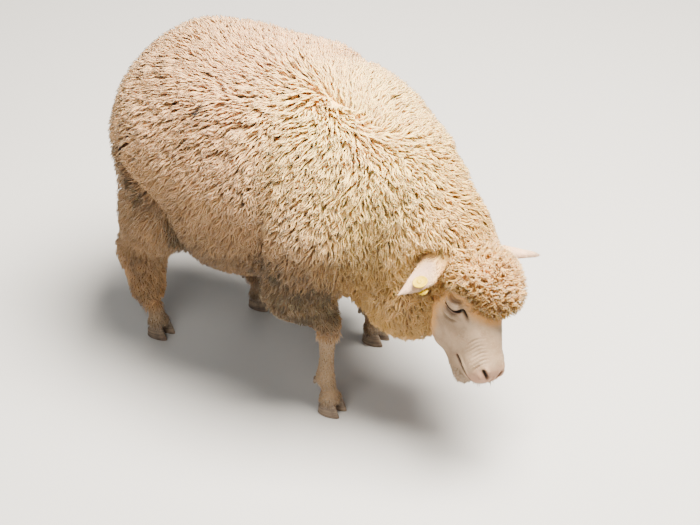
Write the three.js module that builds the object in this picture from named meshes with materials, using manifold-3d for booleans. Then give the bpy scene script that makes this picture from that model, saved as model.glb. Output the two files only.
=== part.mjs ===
// A grazing ewe in full fleece, as a still life-size model: every sub-part is its own closed solid.
// Units are millimetres. +X runs from rump to chest, +Y to the animal's left, +Z up, with the floor at Z 0.
//
// The fleece and the face are implicit bodies: ellipsoids and tapered capsules, blended with a smooth
// minimum and skinned by surface nets. The fleece is modelled whole and parted with thin cuts. The face,
// ears, tail and lower legs are trimmed to the outside of the fleece. Lower legs, ears, tail and claws
// are lofts: one closed section carried through a few stations.
import * as THREE from "three";
import { mergeVertices } from "three/addons/utils/BufferGeometryUtils.js";
import Module from "manifold-3d";

const wasm = await Module();
wasm.setup();

// ---------------------------------------------------------------- driving dimensions
const GAP = 0.3; // between neighbouring solids
const BACK = 730; // height of the fleece over the back
const BELLY = 252; // height of the fleece under the belly
const GIRTH = 496; // width of the fleece at the ribs
const RUMP_X = -392; // rearmost fleece
const POLL = new THREE.Vector3(415, -5, 430); // top of the skull, under the wool
const HEAD_YAW = -38; // degrees to the left; negative is to the right
const HEAD_PITCH = 47; // degrees of the nose line below level
const HEAD_ROLL = 22; // degrees, left ear down
const FEET = {
  fore: { right: new THREE.Vector3(185, -135, 0), left: new THREE.Vector3(132, 112, 0) },
  hind: { right: new THREE.Vector3(-275, -135, 0), left: new THREE.Vector3(-150, 72, 0) },
};
const KNEE_HEM = 206; // height where the wool of a fore leg ends
const HOCK_HEM = 84; // height where the wool of a hind leg ends
const CLAW_L = 52; // a claw, heel to toe
const CLAW_W = 25; // width of a claw
const CLAW_H = 34; // height of the horn at the front of the coronet
const HEEL_H = 19; // height of the horn at the heel
const EYE_R = 13.4; // eyeball
const EYE_AT = [100.5, 50, 16]; // eyeball centre on the head: forward, outward, up
const EYE_AXIS = [0.26, 0.9, 0.36]; // out of the eye, on the head
const LID_SLIT = [12.5, 2.6]; // half length and half height of the opening between the lids
const EAR_ROOT = { left: [20, 61, 19], right: [-5, 58, 44] }; // on the head: forward, outward, up
const EAR_TIP = { left: [35, 180.5, 15.7], right: [63, 163, -18] };
const EAR_OPEN = { left: [0.91, 0, -0.2], right: [0.18, -0.52, -0.84] }; // the way the hollow faces
const EAR_CUP = { left: 1.45, right: 1 }; // how deep each ear is cupped
const EAR_W = 29; // half the width of the ear at its widest
const EAR_T = 3; // thickness of the ear's leaf
const TAG_R = 15; // outer disc of the ear tag
const BUTTON_R = 9.5; // inner disc
const TAG_AT = [0.69, 0.62]; // along the ear, and across it in half widths
const TAG_TILT = 32; // degrees, as the tag hangs loose on its pin
const TAG_SWAY = 20; // degrees, from across the ear toward its tip
const TAG_OUT = 13.5; // from the leaf's back to the outer disc
const TAG_IN = 14; // from the leaf's back to the inner disc
const TAG_T = 2.4; // thickness of a disc
const PIN_R = 2.2; // the tag's pin
const DEWCLAW = { root: 6.5, tip: 3.5, long: 18, apart: 10, z: 72, droop: 18 }; // radii, sizes, degrees
const DEWCLAW_BEHIND = { fore: 27, hind: 33 }; // from the foot's centre

// How finely each skin is faceted.
const TRUNK_CELL = 54;
const NECK_CELL = 32;
const LEG_CELL = 30;
const HEAD_CELL = 22;
const FACE_CELL = 17.6;

const v = (x, y, z) => new THREE.Vector3(x, y, z);
const rad = THREE.MathUtils.degToRad;
const clamp = THREE.MathUtils.clamp;
const lerp = THREE.MathUtils.lerp;
const sides = [1, -1]; // left, right
const nameOf = (side) => (side > 0 ? "left" : "right");

// ---------------------------------------------------------------- implicit bodies
// Each returns a function of x, y, z: about the distance to its surface, negative inside.
function ellipsoid(centre, radii, turn = new THREE.Quaternion()) {
  const back = turn.clone().invert();
  const p = v(0, 0, 0);
  return (x, y, z) => {
    p.set(x, y, z).sub(centre).applyQuaternion(back);
    const near = Math.hypot(p.x / radii.x, p.y / radii.y, p.z / radii.z);
    const slope = Math.hypot(p.x / radii.x ** 2, p.y / radii.y ** 2, p.z / radii.z ** 2);
    return slope < 1e-9 ? -Math.min(radii.x, radii.y, radii.z) : (near * (near - 1)) / slope;
  };
}

function capsule(a, b, ra, rb) {
  const ab = b.clone().sub(a);
  const length2 = ab.lengthSq();
  return (x, y, z) => {
    const px = x - a.x;
    const py = y - a.y;
    const pz = z - a.z;
    const t = clamp((px * ab.x + py * ab.y + pz * ab.z) / length2, 0, 1);
    return Math.hypot(px - t * ab.x, py - t * ab.y, pz - t * ab.z) - lerp(ra, rb, t);
  };
}

// Joins bodies with a fillet about as wide as k.
function blend(k, ...bodies) {
  return (x, y, z) =>
    bodies.reduce((d, body) => {
      const e = body(x, y, z);
      const h = Math.max(k - Math.abs(d - e), 0) / k;
      return Math.min(d, e) - (h * h * k) / 4;
    }, Infinity);
}

// Hollows a body: each hollow is taken away, with an edge rounded over about k.
function carve(k, body, ...hollows) {
  const kept = blend(k, (x, y, z) => -body(x, y, z), ...hollows);
  return (x, y, z) => -kept(x, y, z);
}

// The way out of a body at a point.
function outOf(body, { x, y, z }) {
  const h = 0.5;
  return v(
    body(x + h, y, z) - body(x - h, y, z),
    body(x, y + h, z) - body(x, y - h, z),
    body(x, y, z + h) - body(x, y, z - h),
  ).normalize();
}

// Where the inside meets itself only across the diagonal of a grid face, the weaker corner goes outside,
// so that no edge of the skin is shared by more than two faces.
function settle(value, n, cell) {
  const strides = [1, n[0], n[0] * n[1]];
  for (let at = 0; at < value.length; at++)
    for (const [s, t] of [[0, 1], [1, 2], [2, 0]]) {
      const ring = [at, at + strides[s], at + strides[s] + strides[t], at + strides[t]];
      if (ring[2] >= value.length) continue;
      const inside = ring.map((corner) => value[corner] < 0);
      if (inside[0] !== inside[2] || inside[1] !== inside[3] || inside[0] === inside[1]) continue;
      const pair = inside[0] ? [ring[0], ring[2]] : [ring[1], ring[3]];
      const weaker = value[pair[0]] > value[pair[1]] ? pair[0] : pair[1];
      value[weaker] = cell / 8;
    }
}

// Surface nets: one vertex in each cell that the surface crosses, one quad round each crossed edge.
// A margin moves the finished skin outward, so that a body and its thicker twin never cross.
function netSurface(body, box, cell, margin = 0) {
  const n = ["x", "y", "z"].map((k) => Math.ceil((box.max[k] - box.min[k]) / cell) + 1);
  const at = (i, j, k) => i + n[0] * (j + n[1] * k);
  const value = new Float32Array(n[0] * n[1] * n[2]);
  for (let k = 0; k < n[2]; k++)
    for (let j = 0; j < n[1]; j++)
      for (let i = 0; i < n[0]; i++) {
        const rim = i * j * k === 0 || i === n[0] - 1 || j === n[1] - 1 || k === n[2] - 1;
        const d = body(box.min.x + i * cell, box.min.y + j * cell, box.min.z + k * cell);
        value[at(i, j, k)] = rim ? Math.max(d, cell / 4) : d;
      }
  settle(value, n, cell);
  const cellVertex = new Map();
  const points = [];
  const vertexOf = (i, j, k) => {
    const key = at(i, j, k);
    if (cellVertex.has(key)) return cellVertex.get(key);
    const sum = v(0, 0, 0);
    let crossings = 0;
    for (let e = 0; e < 12; e++) {
      const axis = e >> 2;
      const start = [0, 0, 0];
      start[(axis + 1) % 3] = e & 1;
      start[(axis + 2) % 3] = (e >> 1) & 1;
      const end = start.slice();
      end[axis] = 1;
      const a = value[at(i + start[0], j + start[1], k + start[2])];
      const b = value[at(i + end[0], j + end[1], k + end[2])];
      if (a < 0 === b < 0) continue;
      start[axis] = a / (a - b);
      sum.add(v(...start));
      crossings++;
    }
    sum.divideScalar(crossings).add(v(i, j, k)).multiplyScalar(cell).add(box.min);
    sum.addScaledVector(outOf(body, sum), margin);
    points.push(sum.x, sum.y, sum.z);
    cellVertex.set(key, points.length / 3 - 1);
    return points.length / 3 - 1;
  };
  const index = [];
  for (let k = 0; k < n[2] - 1; k++)
    for (let j = 0; j < n[1] - 1; j++)
      for (let i = 0; i < n[0] - 1; i++)
        for (let axis = 0; axis < 3; axis++) {
          const step = [0, 0, 0];
          step[axis] = 1;
          const inside = value[at(i, j, k)] < 0;
          if (inside === value[at(i + step[0], j + step[1], k + step[2])] < 0) continue;
          const [s, t] = [(axis + 1) % 3, (axis + 2) % 3];
          const quad = [[0, 0], [1, 0], [1, 1], [0, 1]].map(([ds, dt]) => {
            const c = [i, j, k];
            c[s] -= ds;
            c[t] -= dt;
            return vertexOf(...c);
          });
          if (!inside) quad.reverse();
          index.push(quad[0], quad[1], quad[2], quad[0], quad[2], quad[3]);
        }
  const g = new THREE.BufferGeometry();
  g.setAttribute("position", new THREE.Float32BufferAttribute(points, 3));
  g.setIndex(index);
  return g;
}

// ---------------------------------------------------------------- solids
function solid(geometry) {
  const bare = new THREE.BufferGeometry();
  bare.setAttribute("position", geometry.getAttribute("position"));
  bare.setIndex(geometry.index);
  const merged = mergeVertices(bare, 1e-3);
  const index = merged.index.array;
  const whole = [];
  for (let i = 0; i < index.length; i += 3) {
    const [a, b, c] = [index[i], index[i + 1], index[i + 2]];
    if (a !== b && b !== c && c !== a) whole.push(a, b, c);
  }
  const mesh = new wasm.Mesh({
    numProp: 3,
    vertProperties: merged.attributes.position.array,
    triVerts: new Uint32Array(whole),
  });
  mesh.merge();
  return new wasm.Manifold(mesh);
}

function geometryOf(body) {
  const mesh = body.getMesh();
  const g = new THREE.BufferGeometry();
  g.setAttribute("position", new THREE.BufferAttribute(mesh.vertProperties, 3));
  g.setIndex(new THREE.BufferAttribute(mesh.triVerts, 1));
  g.computeVertexNormals();
  return g;
}

// A block that bounds one sub-part of the body: centre, size and turn, grown by a margin on every side.
function block({ centre, size, turn = new THREE.Quaternion() }, margin = 0) {
  const g = new THREE.BoxGeometry(size.x + 2 * margin, size.y + 2 * margin, size.z + 2 * margin);
  g.applyQuaternion(turn).translate(centre.x, centre.y, centre.z);
  return solid(g);
}

// A closed loft: each section is {centre, across, along, half: [a, b]}, the unit outline at that size.
const circle = (angle) => [Math.cos(angle), Math.sin(angle)];

function loft(sections, sides, outline = circle) {
  const points = [];
  for (const { centre, across, along, half } of sections)
    for (let s = 0; s < sides; s++) {
      const [a, b] = outline((2 * Math.PI * s) / sides);
      const p = centre.clone();
      p.addScaledVector(across, half[0] * a);
      p.addScaledVector(along, half[1] * b);
      points.push(p.x, p.y, p.z);
    }
  const index = [];
  for (let r = 0; r + 1 < sections.length; r++)
    for (let s = 0; s < sides; s++) {
      const [a, b] = [r * sides + s, r * sides + ((s + 1) % sides)];
      index.push(a, b, b + sides, a, b + sides, a + sides);
    }
  for (const [ring, flip] of [[0, true], [sections.length - 1, false]]) {
    const c = sections[ring].centre;
    points.push(c.x, c.y, c.z);
    const hub = points.length / 3 - 1;
    for (let s = 0; s < sides; s++) {
      const [a, b] = [ring * sides + s, ring * sides + ((s + 1) % sides)];
      index.push(...(flip ? [hub, b, a] : [hub, a, b]));
    }
  }
  const g = new THREE.BufferGeometry();
  g.setAttribute("position", new THREE.Float32BufferAttribute(points, 3));
  g.setIndex(index);
  const body = solid(g);
  return body.volume() > 0 ? body : solid(inverted(g));
}

function inverted(geometry) {
  const index = Array.from(geometry.index.array);
  for (let i = 0; i < index.length; i += 3) [index[i], index[i + 1]] = [index[i + 1], index[i]];
  geometry.setIndex(index);
  return geometry;
}

// ---------------------------------------------------------------- the head's own frame
// Head coordinates: f from the poll to the nose, l to the left, u out of the forehead.
const headTurn = new THREE.Quaternion()
  .setFromAxisAngle(v(0, 0, 1), rad(HEAD_YAW))
  .multiply(new THREE.Quaternion().setFromAxisAngle(v(0, 1, 0), rad(HEAD_PITCH)))
  .multiply(new THREE.Quaternion().setFromAxisAngle(v(1, 0, 0), rad(-HEAD_ROLL)));
const alongHead = (f, l, u) => v(f, l, u).applyQuaternion(headTurn);
const onHead = (f, l, u) => alongHead(f, l, u).add(POLL);

// ---------------------------------------------------------------- fleece
const MID_Z = (BACK + BELLY) / 2;

function trunkBodies() {
  const half = GIRTH / 2;
  const depth = (BACK - BELLY) / 2;
  return [
    ellipsoid(v(0, 6, MID_Z + 10), v(325, half + 2, depth - 4)), // ribs and loin
    ellipsoid(v(-85, -4, MID_Z - 44), v(225, half - 4, depth - 6)), // belly
    ellipsoid(v(RUMP_X + 190, 0, MID_Z + 24), v(190, half - 12, depth - 28)), // rump
    ...sides.map((s) => capsule(v(-140, s * 95, 600), v(10, s * 95, 600), 98, 100)), // broad loin
    ellipsoid(v(142, 0, MID_Z - 6), v(204, half - 28, depth - 10)), // shoulders
    ellipsoid(v(262, 0, MID_Z - 124), v(118, 130, 165)), // brisket
  ];
}

function haunch(side) {
  const foot = FEET.hind[nameOf(side)];
  const hip = v(-230, side * 105, 480);
  const stifle = v(foot.x + 38, side * 135, 350);
  const hock = v(foot.x - 25, foot.y, 225);
  const hem = v(foot.x - 19, foot.y, HOCK_HEM + 32);
  return blend(30, capsule(hip, stifle, 120, 94), capsule(stifle, hock, 88, 54), capsule(hock, hem, 54, 42));
}

function shoulder(side) {
  const foot = FEET.fore[nameOf(side)];
  const blade = v(150, side * 120, 450);
  const elbow = v(120, side * 150, 320);
  const hem = v(foot.x, foot.y, KNEE_HEM + 30);
  return blend(30, capsule(blade, elbow, 130, 85), capsule(elbow, hem, 66, 33));
}

function neckBodies() {
  return [
    capsule(v(256, 0, 506), v(350, -16, 458), 160, 119), // nape
    capsule(v(280, -10, 405), onHead(0, 0, -80), 140, 104), // throat
    capsule(v(319, -47, 328), onHead(14, -50, -152), 107, 66), // ruff under the throat
  ];
}

function headWoolBodies() {
  return [
    ellipsoid(onHead(28, 6, 0), v(90, 74, 62), headTurn), // cranium
    ellipsoid(onHead(58, -3, 54), v(59, 86, 70), headTurn), // topknot
    ellipsoid(onHead(103, 12, 68), v(50, 60, 50), headTurn), // fringe over the brow
    ...sides.map((s) => capsule(onHead(-15, s * 55, -80), onHead(84, s * 46, -124), 86, 58)), // cheeks
  ];
}

// Where the wool stands clear of an ear's leaf.
function earClearing(side) {
  const { root, axis, open } = earFrame(side);
  const along = (t) => root.clone().addScaledVector(axis, t).addScaledVector(open, -6);
  return capsule(along(0.45), along(1.15), 26, 27);
}

// Where the wool stands clear of an eye and the side of the face.
const eyeClearing = (side) =>
  capsule(onHead(102, side * 56, 14), onHead(188, side * 150, 14), 27, 86);

const fleece = carve(
  18,
  blend(
    34,
    ...trunkBodies(),
    ...sides.flatMap((s) => [haunch(s), shoulder(s)]),
    ...neckBodies(),
    ...headWoolBodies(),
  ),
  ...sides.map(eyeClearing),
  ...sides.map(earClearing),
);

// ---------------------------------------------------------------- face
const face = blend(
  22,
  ellipsoid(onHead(52, 0, -8), v(85, 64, 62), headTurn), // skull
  capsule(onHead(86, 0, 24), onHead(206, 0, 2), 48, 32), // bridge of the nose
  capsule(onHead(105, 0, -12), onHead(220, 0, -14), 50, 34), // upper jaw
  ...sides.map((s) => capsule(onHead(90, s * 38, 20), onHead(116, s * 36, 16), 28, 21)), // orbits
  ...sides.map((s) => capsule(onHead(50, s * 39, -64), onHead(150, s * 26, -67), 43, 29)), // jowls
  ...sides.map((s) => capsule(onHead(92, s * 32, -30), onHead(182, s * 14, -40), 36, 27)), // cheeks
  ...sides.map((s) => ellipsoid(onHead(229, s * 15, -11), v(29, 24, 30), headTurn)), // lips and nostrils
  capsule(onHead(130, 0, -82), onHead(231, 0, -74), 32, 22), // lower jaw
);

// ---------------------------------------------------------------- parting the fleece
// Wool that trims a neighbour is this much thicker, so that the two never touch.
const WOOL_CLEAR = 0.8;
const headBox = new THREE.Box3(v(300, -300, 60), v(680, 200, 640));
const headWool = (margin) => solid(netSurface(fleece, headBox, HEAD_CELL, margin));

// The neck's block also holds the head, and the head's block is cut from it.
const trunkSpan = { centre: v(-30, 0, 500), size: v(900, 620, 560) };
const neckTurn = new THREE.Quaternion().setFromAxisAngle(v(0, 1, 0), rad(-14));
const neckSpan = {
  centre: v(260, 0, 0).applyQuaternion(neckTurn).add(v(286, -20, 480)),
  size: v(520, 640, 760),
  turn: neckTurn,
};
const headSpan = { centre: onHead(130, 0, 0), size: v(300, 460, 380), turn: headTurn };

function legSpan(kind, side) {
  const foot = FEET[kind][nameOf(side)];
  return kind === "hind"
    ? { centre: v(foot.x + 6, foot.y + side * 18, 159), size: v(250, 175, 318) }
    : { centre: v(foot.x - 24, foot.y + side * 18, 150), size: v(176, 150, 300) };
}

const legs = ["fore", "hind"].flatMap((kind) => sides.map((side) => ({ kind, side })));

// The skin of a body inside one block, made on a grid just larger than the block.
function region(body, span, cell, margin = 0) {
  const cutter = block(span);
  const { min, max } = cutter.boundingBox();
  const grid = new THREE.Box3(v(...min), v(...max)).expandByScalar(2 * cell);
  grid.min.z = Math.max(grid.min.z, 0);
  return solid(netSurface(body, grid, cell, margin)).intersect(cutter);
}

// Wool of the trunk and of a leg, as thick as it grows or thicker by a margin.
const trunkWool = (margin) => region(fleece, trunkSpan, TRUNK_CELL, margin);
const legWool = (kind, side, margin) => region(fleece, legSpan(kind, side), LEG_CELL, margin);

function trunkSolid() {
  let trunk = trunkWool(0).subtract(block(neckSpan, GAP));
  for (const { kind, side } of legs) trunk = trunk.subtract(block(legSpan(kind, side), GAP));
  return trunk;
}

const neckSolid = () => region(fleece, neckSpan, NECK_CELL).subtract(block(headSpan, GAP));
const headSolid = () => headWool(0).intersect(block(headSpan)).intersect(block(neckSpan));

// ---------------------------------------------------------------- face, jaw and eyes
const mouthSpan = {
  centre: onHead(205, 0, -82),
  size: v(170, 160, 100),
  turn: headTurn.clone().multiply(new THREE.Quaternion().setFromAxisAngle(v(0, 1, 0), rad(-5))),
};
const eyeCentre = (side) => onHead(EYE_AT[0], side * EYE_AT[1], EYE_AT[2]);
const eyeAxis = (side) => alongHead(EYE_AXIS[0], side * EYE_AXIS[1], EYE_AXIS[2]).normalize();

function eyeball(side, radius) {
  const { x, y, z } = eyeCentre(side);
  return solid(new THREE.SphereGeometry(radius, 12, 7).translate(x, y, z));
}

// The opening between the lids: a flat lens that runs from the front of the eye out of the head.
function lidSlit(side) {
  const out = eyeAxis(side);
  const long = alongHead(0.76, side * -0.5, 0.4);
  long.addScaledVector(out, -long.dot(out)).normalize();
  const high = out.clone().cross(long);
  const size = v(LID_SLIT[0], LID_SLIT[1], EYE_R);
  const g = new THREE.SphereGeometry(1, 10, 6);
  g.applyMatrix4(new THREE.Matrix4().makeBasis(long, high, out.clone()).scale(size));
  const at = eyeCentre(side).addScaledVector(out, EYE_R);
  return solid(g.translate(at.x, at.y, at.z));
}

// All of the face outside the wool, with a socket round each eye.
function faceOutsideWool() {
  let bare = solid(netSurface(face, headBox, FACE_CELL)).subtract(headWool(WOOL_CLEAR));
  for (const side of sides) bare = bare.subtract(eyeball(side, EYE_R + GAP)).subtract(lidSlit(side));
  return bare;
}

// ---------------------------------------------------------------- ears and tag
// An ear is a pointed leaf swept from root to tip, hollowed on the side that faces down and forward.
const earLeaf = [
  [0, 0.62, 0.46, 0], // along the ear, half width, half depth, lean toward its front edge
  [0.2, 0.74, 0.44, -0.02],
  [0.4, 0.81, 0.38, 0.06],
  [0.52, 0.83, 0.31, 0.18],
  [0.64, 0.68, 0.26, 0.2],
  [0.76, 0.52, 0.22, 0.17],
  [0.87, 0.3, 0.17, 0.1],
  [0.95, 0.14, 0.11, 0.03],
  [1, 0.06, 0.06, 0],
];

function earFrame(side) {
  const mirrored = (place) => place[nameOf(side)].map((value, k) => (k === 1 ? side * value : value));
  const root = onHead(...mirrored(EAR_ROOT));
  const axis = onHead(...mirrored(EAR_TIP)).sub(root);
  const open = alongHead(...mirrored(EAR_OPEN));
  open.addScaledVector(axis, -open.dot(axis) / axis.lengthSq()).normalize();
  const across = axis.clone().normalize().cross(open).multiplyScalar(-side);
  return { root, axis, open, across };
}

// The leaf's outer form; the hollow is narrower by the leaf's thickness and deeper than the leaf.
function earForm(side, thinner, deeper) {
  const { root, axis, open, across } = earFrame(side);
  const sections = earLeaf.map(([t, wide, deep, lean]) => {
    const depth = EAR_W * deep * EAR_CUP[nameOf(side)];
    const half = [Math.max(EAR_W * wide - thinner, 0.3), depth * (1 + deeper)];
    const centre = root.clone().addScaledVector(axis, t).addScaledVector(across, EAR_W * lean);
    return { centre: centre.addScaledVector(open, depth * deeper + thinner), across, along: open, half };
  });
  return loft(sections, 10);
}

function earSolid(side, wool) {
  const ear = earForm(side, 0, 0).subtract(earForm(side, EAR_T, 0.7)).subtract(wool);
  return side < 0 ? ear.subtract(tagDisc(PIN_R + GAP, 80, 0)) : ear;
}

// The tag hangs loose in the right ear: a disc outside the leaf, a pin through it and a disc inside.
function tagFrame() {
  const { root, axis, open, across } = earFrame(-1);
  const at = root.clone().addScaledVector(axis, TAG_AT[0]).addScaledVector(across, EAR_W * TAG_AT[1]);
  const pin = across.clone().multiplyScalar(Math.cos(rad(TAG_SWAY)));
  pin.addScaledVector(axis.clone().normalize(), Math.sin(rad(TAG_SWAY)));
  pin.multiplyScalar(Math.sin(rad(TAG_TILT))).addScaledVector(open, Math.cos(rad(TAG_TILT)));
  return { at: at.addScaledVector(open, -EAR_W * 0.19), pin };
}

function tagDisc(radius, thickness, inward) {
  const { at, pin } = tagFrame();
  const g = new THREE.CylinderGeometry(radius, radius, thickness, 16);
  g.applyQuaternion(new THREE.Quaternion().setFromUnitVectors(v(0, 1, 0), pin));
  const centre = at.clone().addScaledVector(pin, inward);
  return solid(g.translate(centre.x, centre.y, centre.z));
}

// ---------------------------------------------------------------- tail
// A short docked tail in wool that lies against the rump: x, z, half width and half thickness.
const tailStations = [
  [-318, 592, 34, 26],
  [-368, 572, 40, 28],
  [-388, 532, 41, 27],
  [-393, 488, 38, 25],
  [-392, 450, 30, 20],
  [-390, 430, 15, 10],
];

function tailSolid() {
  const sections = tailStations.map(([x, z, wide, thick], i) => {
    const before = tailStations[Math.max(i - 1, 0)];
    const after = tailStations[Math.min(i + 1, tailStations.length - 1)];
    const run = v(after[0] - before[0], 0, after[1] - before[1]).normalize();
    return { centre: v(x, 0, z), across: v(0, 1, 0), along: run.cross(v(0, 1, 0)), half: [wide, thick] };
  });
  return loft(sections, 12).subtract(trunkWool(WOOL_CLEAR));
}

// ---------------------------------------------------------------- lower legs and feet
// Stations of a lower leg: height, set forward of the foot's centre, half width, half depth.
const legStations = {
  fore: [
    [KNEE_HEM + 34, -2, 20, 22],
    [214, 0, 22, 24], // knee
    [180, -3, 15, 18],
    [128, -5, 13, 16], // cannon
    [82, -8, 19, 21], // fetlock
    [60, 0, 16, 17], // pastern
  ],
  hind: [
    [HOCK_HEM + 30, -18, 16, 19],
    [80, -14, 19, 22], // fetlock
    [60, -2, 16, 17], // pastern
  ],
};

// The coronet slopes from the front of the foot down to the heel, and the leg ends on that slope.
const coronet = v(CLAW_L * 0.72, 0, CLAW_H - HEEL_H).normalize();
const coronetTop = (CLAW_H + HEEL_H) / 2;

// The leg from its top station to the coronet, thicker all round by a margin.
function legForm(kind, side, margin) {
  const foot = FEET[kind][nameOf(side)];
  const across = v(0, 1, 0);
  const sections = legStations[kind].map(([z, forward, wide, deep]) => {
    const half = [wide + margin, deep + margin];
    return { centre: v(foot.x + forward, foot.y, z), across, along: v(1, 0, 0), half };
  });
  for (const rise of [12, 0]) {
    const half = [CLAW_W - 3 + margin, CLAW_L * 0.39 + margin];
    sections.push({ centre: v(foot.x + 3, foot.y, coronetTop + rise), across, along: coronet, half });
  }
  return loft(sections, 10);
}

const lowerLeg = (kind, side) => legForm(kind, side, 0).subtract(legWool(kind, side, WOOL_CLEAR));

// A claw: flat sole, sloping front wall, and a flatter side toward its twin.
function clawSolid(kind, side, twin) {
  const foot = FEET[kind][nameOf(side)];
  const y = foot.y + twin * (CLAW_W / 2 + 1.5);
  const outline = (angle) => {
    const toeward = Math.cos(angle);
    const sideways = Math.sin(angle) * (1 - 0.24 * toeward);
    return [sideways * (sideways * twin < 0 ? 0.9 : 1), toeward];
  };
  const ring = (x, z, along, wide, long) => {
    return { centre: v(foot.x + x, y, z), across: v(0, 1, 0), along, half: [wide, long] };
  };
  const rings = [
    ring(9, 0, v(1, 0, 0), CLAW_W / 2, CLAW_L / 2),
    ring(8, 7, v(1, 0, 0), CLAW_W / 2 + 0.5, CLAW_L / 2 - 1.5),
    ring(3, coronetTop - GAP, coronet, CLAW_W / 2 - 1, CLAW_L * 0.38),
  ];
  return loft(rings, 10, outline);
}

// A dewclaw: a small blunt cone of horn that grows out behind the fetlock and points down.
function dewclawSolid(kind, side, twin) {
  const foot = FEET[kind][nameOf(side)];
  const { root, tip, long, apart, z, droop } = DEWCLAW;
  const g = new THREE.CylinderGeometry(root, tip, long, 8);
  g.rotateX(rad(90)).rotateY(rad(droop));
  g.translate(foot.x - DEWCLAW_BEHIND[kind], foot.y + twin * apart, z);
  return solid(g).subtract(legForm(kind, side, GAP));
}

// ---------------------------------------------------------------- finishes
const matte = (color, roughness) => new THREE.MeshStandardMaterial({ color, roughness, metalness: 0 });

const woolFinish = () => matte(0xd0b594, 0.95); // cream to fawn wool
const headFinish = () => matte(0xc9a877, 0.95); // more golden wool on neck and head
const skinFinish = () => matte(0xdccfc0, 0.8); // short white hair over pink skin
const hornFinish = () => matte(0x5a4c40, 0.5); // grey-brown horn
const eyeFinish = () => matte(0x2a1e14, 0.08); // dark amber eye
const tagFinish = () => matte(0xe8dc3c, 0.45); // yellow plastic

// ---------------------------------------------------------------- assembly
const sheep = new THREE.Group();

function place(name, body, material) {
  const mesh = new THREE.Mesh(geometryOf(body), material);
  mesh.name = name;
  sheep.add(mesh);
}

function placeBody() {
  place("trunk", trunkSolid(), woolFinish());
  place("neck", neckSolid(), headFinish());
  place("tail", tailSolid(), woolFinish());
}

function placeHead() {
  place("head", headSolid(), headFinish());
  const bare = faceOutsideWool();
  place("face", bare.subtract(block(mouthSpan, GAP)), skinFinish());
  place("lower_jaw", bare.intersect(block(mouthSpan)), skinFinish());
  const wool = headWool(WOOL_CLEAR);
  for (const side of sides) {
    place(`eye_${nameOf(side)}`, eyeball(side, EYE_R), eyeFinish());
    place(`ear_${nameOf(side)}`, earSolid(side, wool), skinFinish());
  }
}

function placeTag() {
  const pin = tagDisc(PIN_R, TAG_OUT + TAG_IN - TAG_T / 2 - GAP, (TAG_IN - TAG_OUT - TAG_T / 2 - GAP) / 2);
  place("ear_tag_outer", tagDisc(TAG_R, TAG_T, -TAG_OUT).add(pin), tagFinish());
  place("ear_tag_inner", tagDisc(BUTTON_R, TAG_T, TAG_IN), tagFinish());
}

function placeLeg(kind, side) {
  const leg = `${kind}_leg_${nameOf(side)}`;
  place(leg, legWool(kind, side, 0), woolFinish());
  place(`${leg}_lower`, lowerLeg(kind, side), skinFinish());
  for (const twin of sides) {
    const which = twin === side ? "outer" : "inner";
    place(`${leg}_claw_${which}`, clawSolid(kind, side, twin), hornFinish());
    place(`${leg}_dewclaw_${which}`, dewclawSolid(kind, side, twin), hornFinish());
  }
}

placeBody();
placeHead();
placeTag();
for (const { kind, side } of legs) placeLeg(kind, side);

// The origin is on the floor under the middle of the animal's box.
const middle = new THREE.Box3().setFromObject(sheep).getCenter(v(0, 0, 0));
sheep.position.set(-middle.x, -middle.y, 0);

export default sheep;
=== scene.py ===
"""A grazing ewe in full fleece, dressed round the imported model: skin, wool, short hair, eyes, claws and tag.

Sizes are in millimetres on the body's own axes: +X from rump to chest, +Y to the animal's left, +Z up and
the floor at Z 0. Body.placed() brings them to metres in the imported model's frame.
"""

import logging
import math
from dataclasses import dataclass, field, replace
from enum import Enum
from typing import Callable

import bpy
import numpy as np
from mathutils import Matrix, Vector
from mathutils.kdtree import KDTree


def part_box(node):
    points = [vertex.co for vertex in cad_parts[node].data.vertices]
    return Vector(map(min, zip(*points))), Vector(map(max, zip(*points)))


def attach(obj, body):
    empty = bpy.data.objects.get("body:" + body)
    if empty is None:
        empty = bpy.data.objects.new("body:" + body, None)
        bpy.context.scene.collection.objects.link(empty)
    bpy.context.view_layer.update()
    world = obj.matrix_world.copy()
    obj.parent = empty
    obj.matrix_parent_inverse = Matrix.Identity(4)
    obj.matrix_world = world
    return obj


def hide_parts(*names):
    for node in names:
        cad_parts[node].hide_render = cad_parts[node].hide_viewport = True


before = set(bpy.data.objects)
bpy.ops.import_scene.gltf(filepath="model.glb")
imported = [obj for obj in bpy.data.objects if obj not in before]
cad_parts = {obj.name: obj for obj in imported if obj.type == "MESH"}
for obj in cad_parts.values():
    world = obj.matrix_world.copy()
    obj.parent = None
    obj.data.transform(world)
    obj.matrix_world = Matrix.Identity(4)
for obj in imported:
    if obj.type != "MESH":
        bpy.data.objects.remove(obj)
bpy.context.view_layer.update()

log = logging.getLogger("ewe")

Array = np.ndarray
Field = Callable[[Array], Array]
Settle = Callable[[Array], Array]  # brings points onto a surface
Socket = bpy.types.NodeSocket
Material = bpy.types.Material
SIDES = {"left": 1, "right": -1}
MM = 0.001
CHUNK = 12000  # points worked out at a time
FACE_MIDDLE = (150, 0, -10)  # on the head
PATCH = 0.003  # size of a lock's patch on the OFBake map
RUMP_TO, SHOULDER_FROM = -170, 20  # along the body, where the trunk's wool is parted into pieces


# ---- numbers
def unit(v: Array) -> Array:
    """Vectors brought to length one."""
    return v / np.maximum(np.linalg.norm(v, axis=-1, keepdims=True), 1e-9)


def squared(v: Array) -> Array:
    """Squared lengths of vectors."""
    return np.einsum("ij,ij->i", v, v)


def away(p: Array, place: Array | tuple) -> Array:
    """Distances of points from one place."""
    return np.linalg.norm(p - np.asarray(place, float), axis=1)


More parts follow.
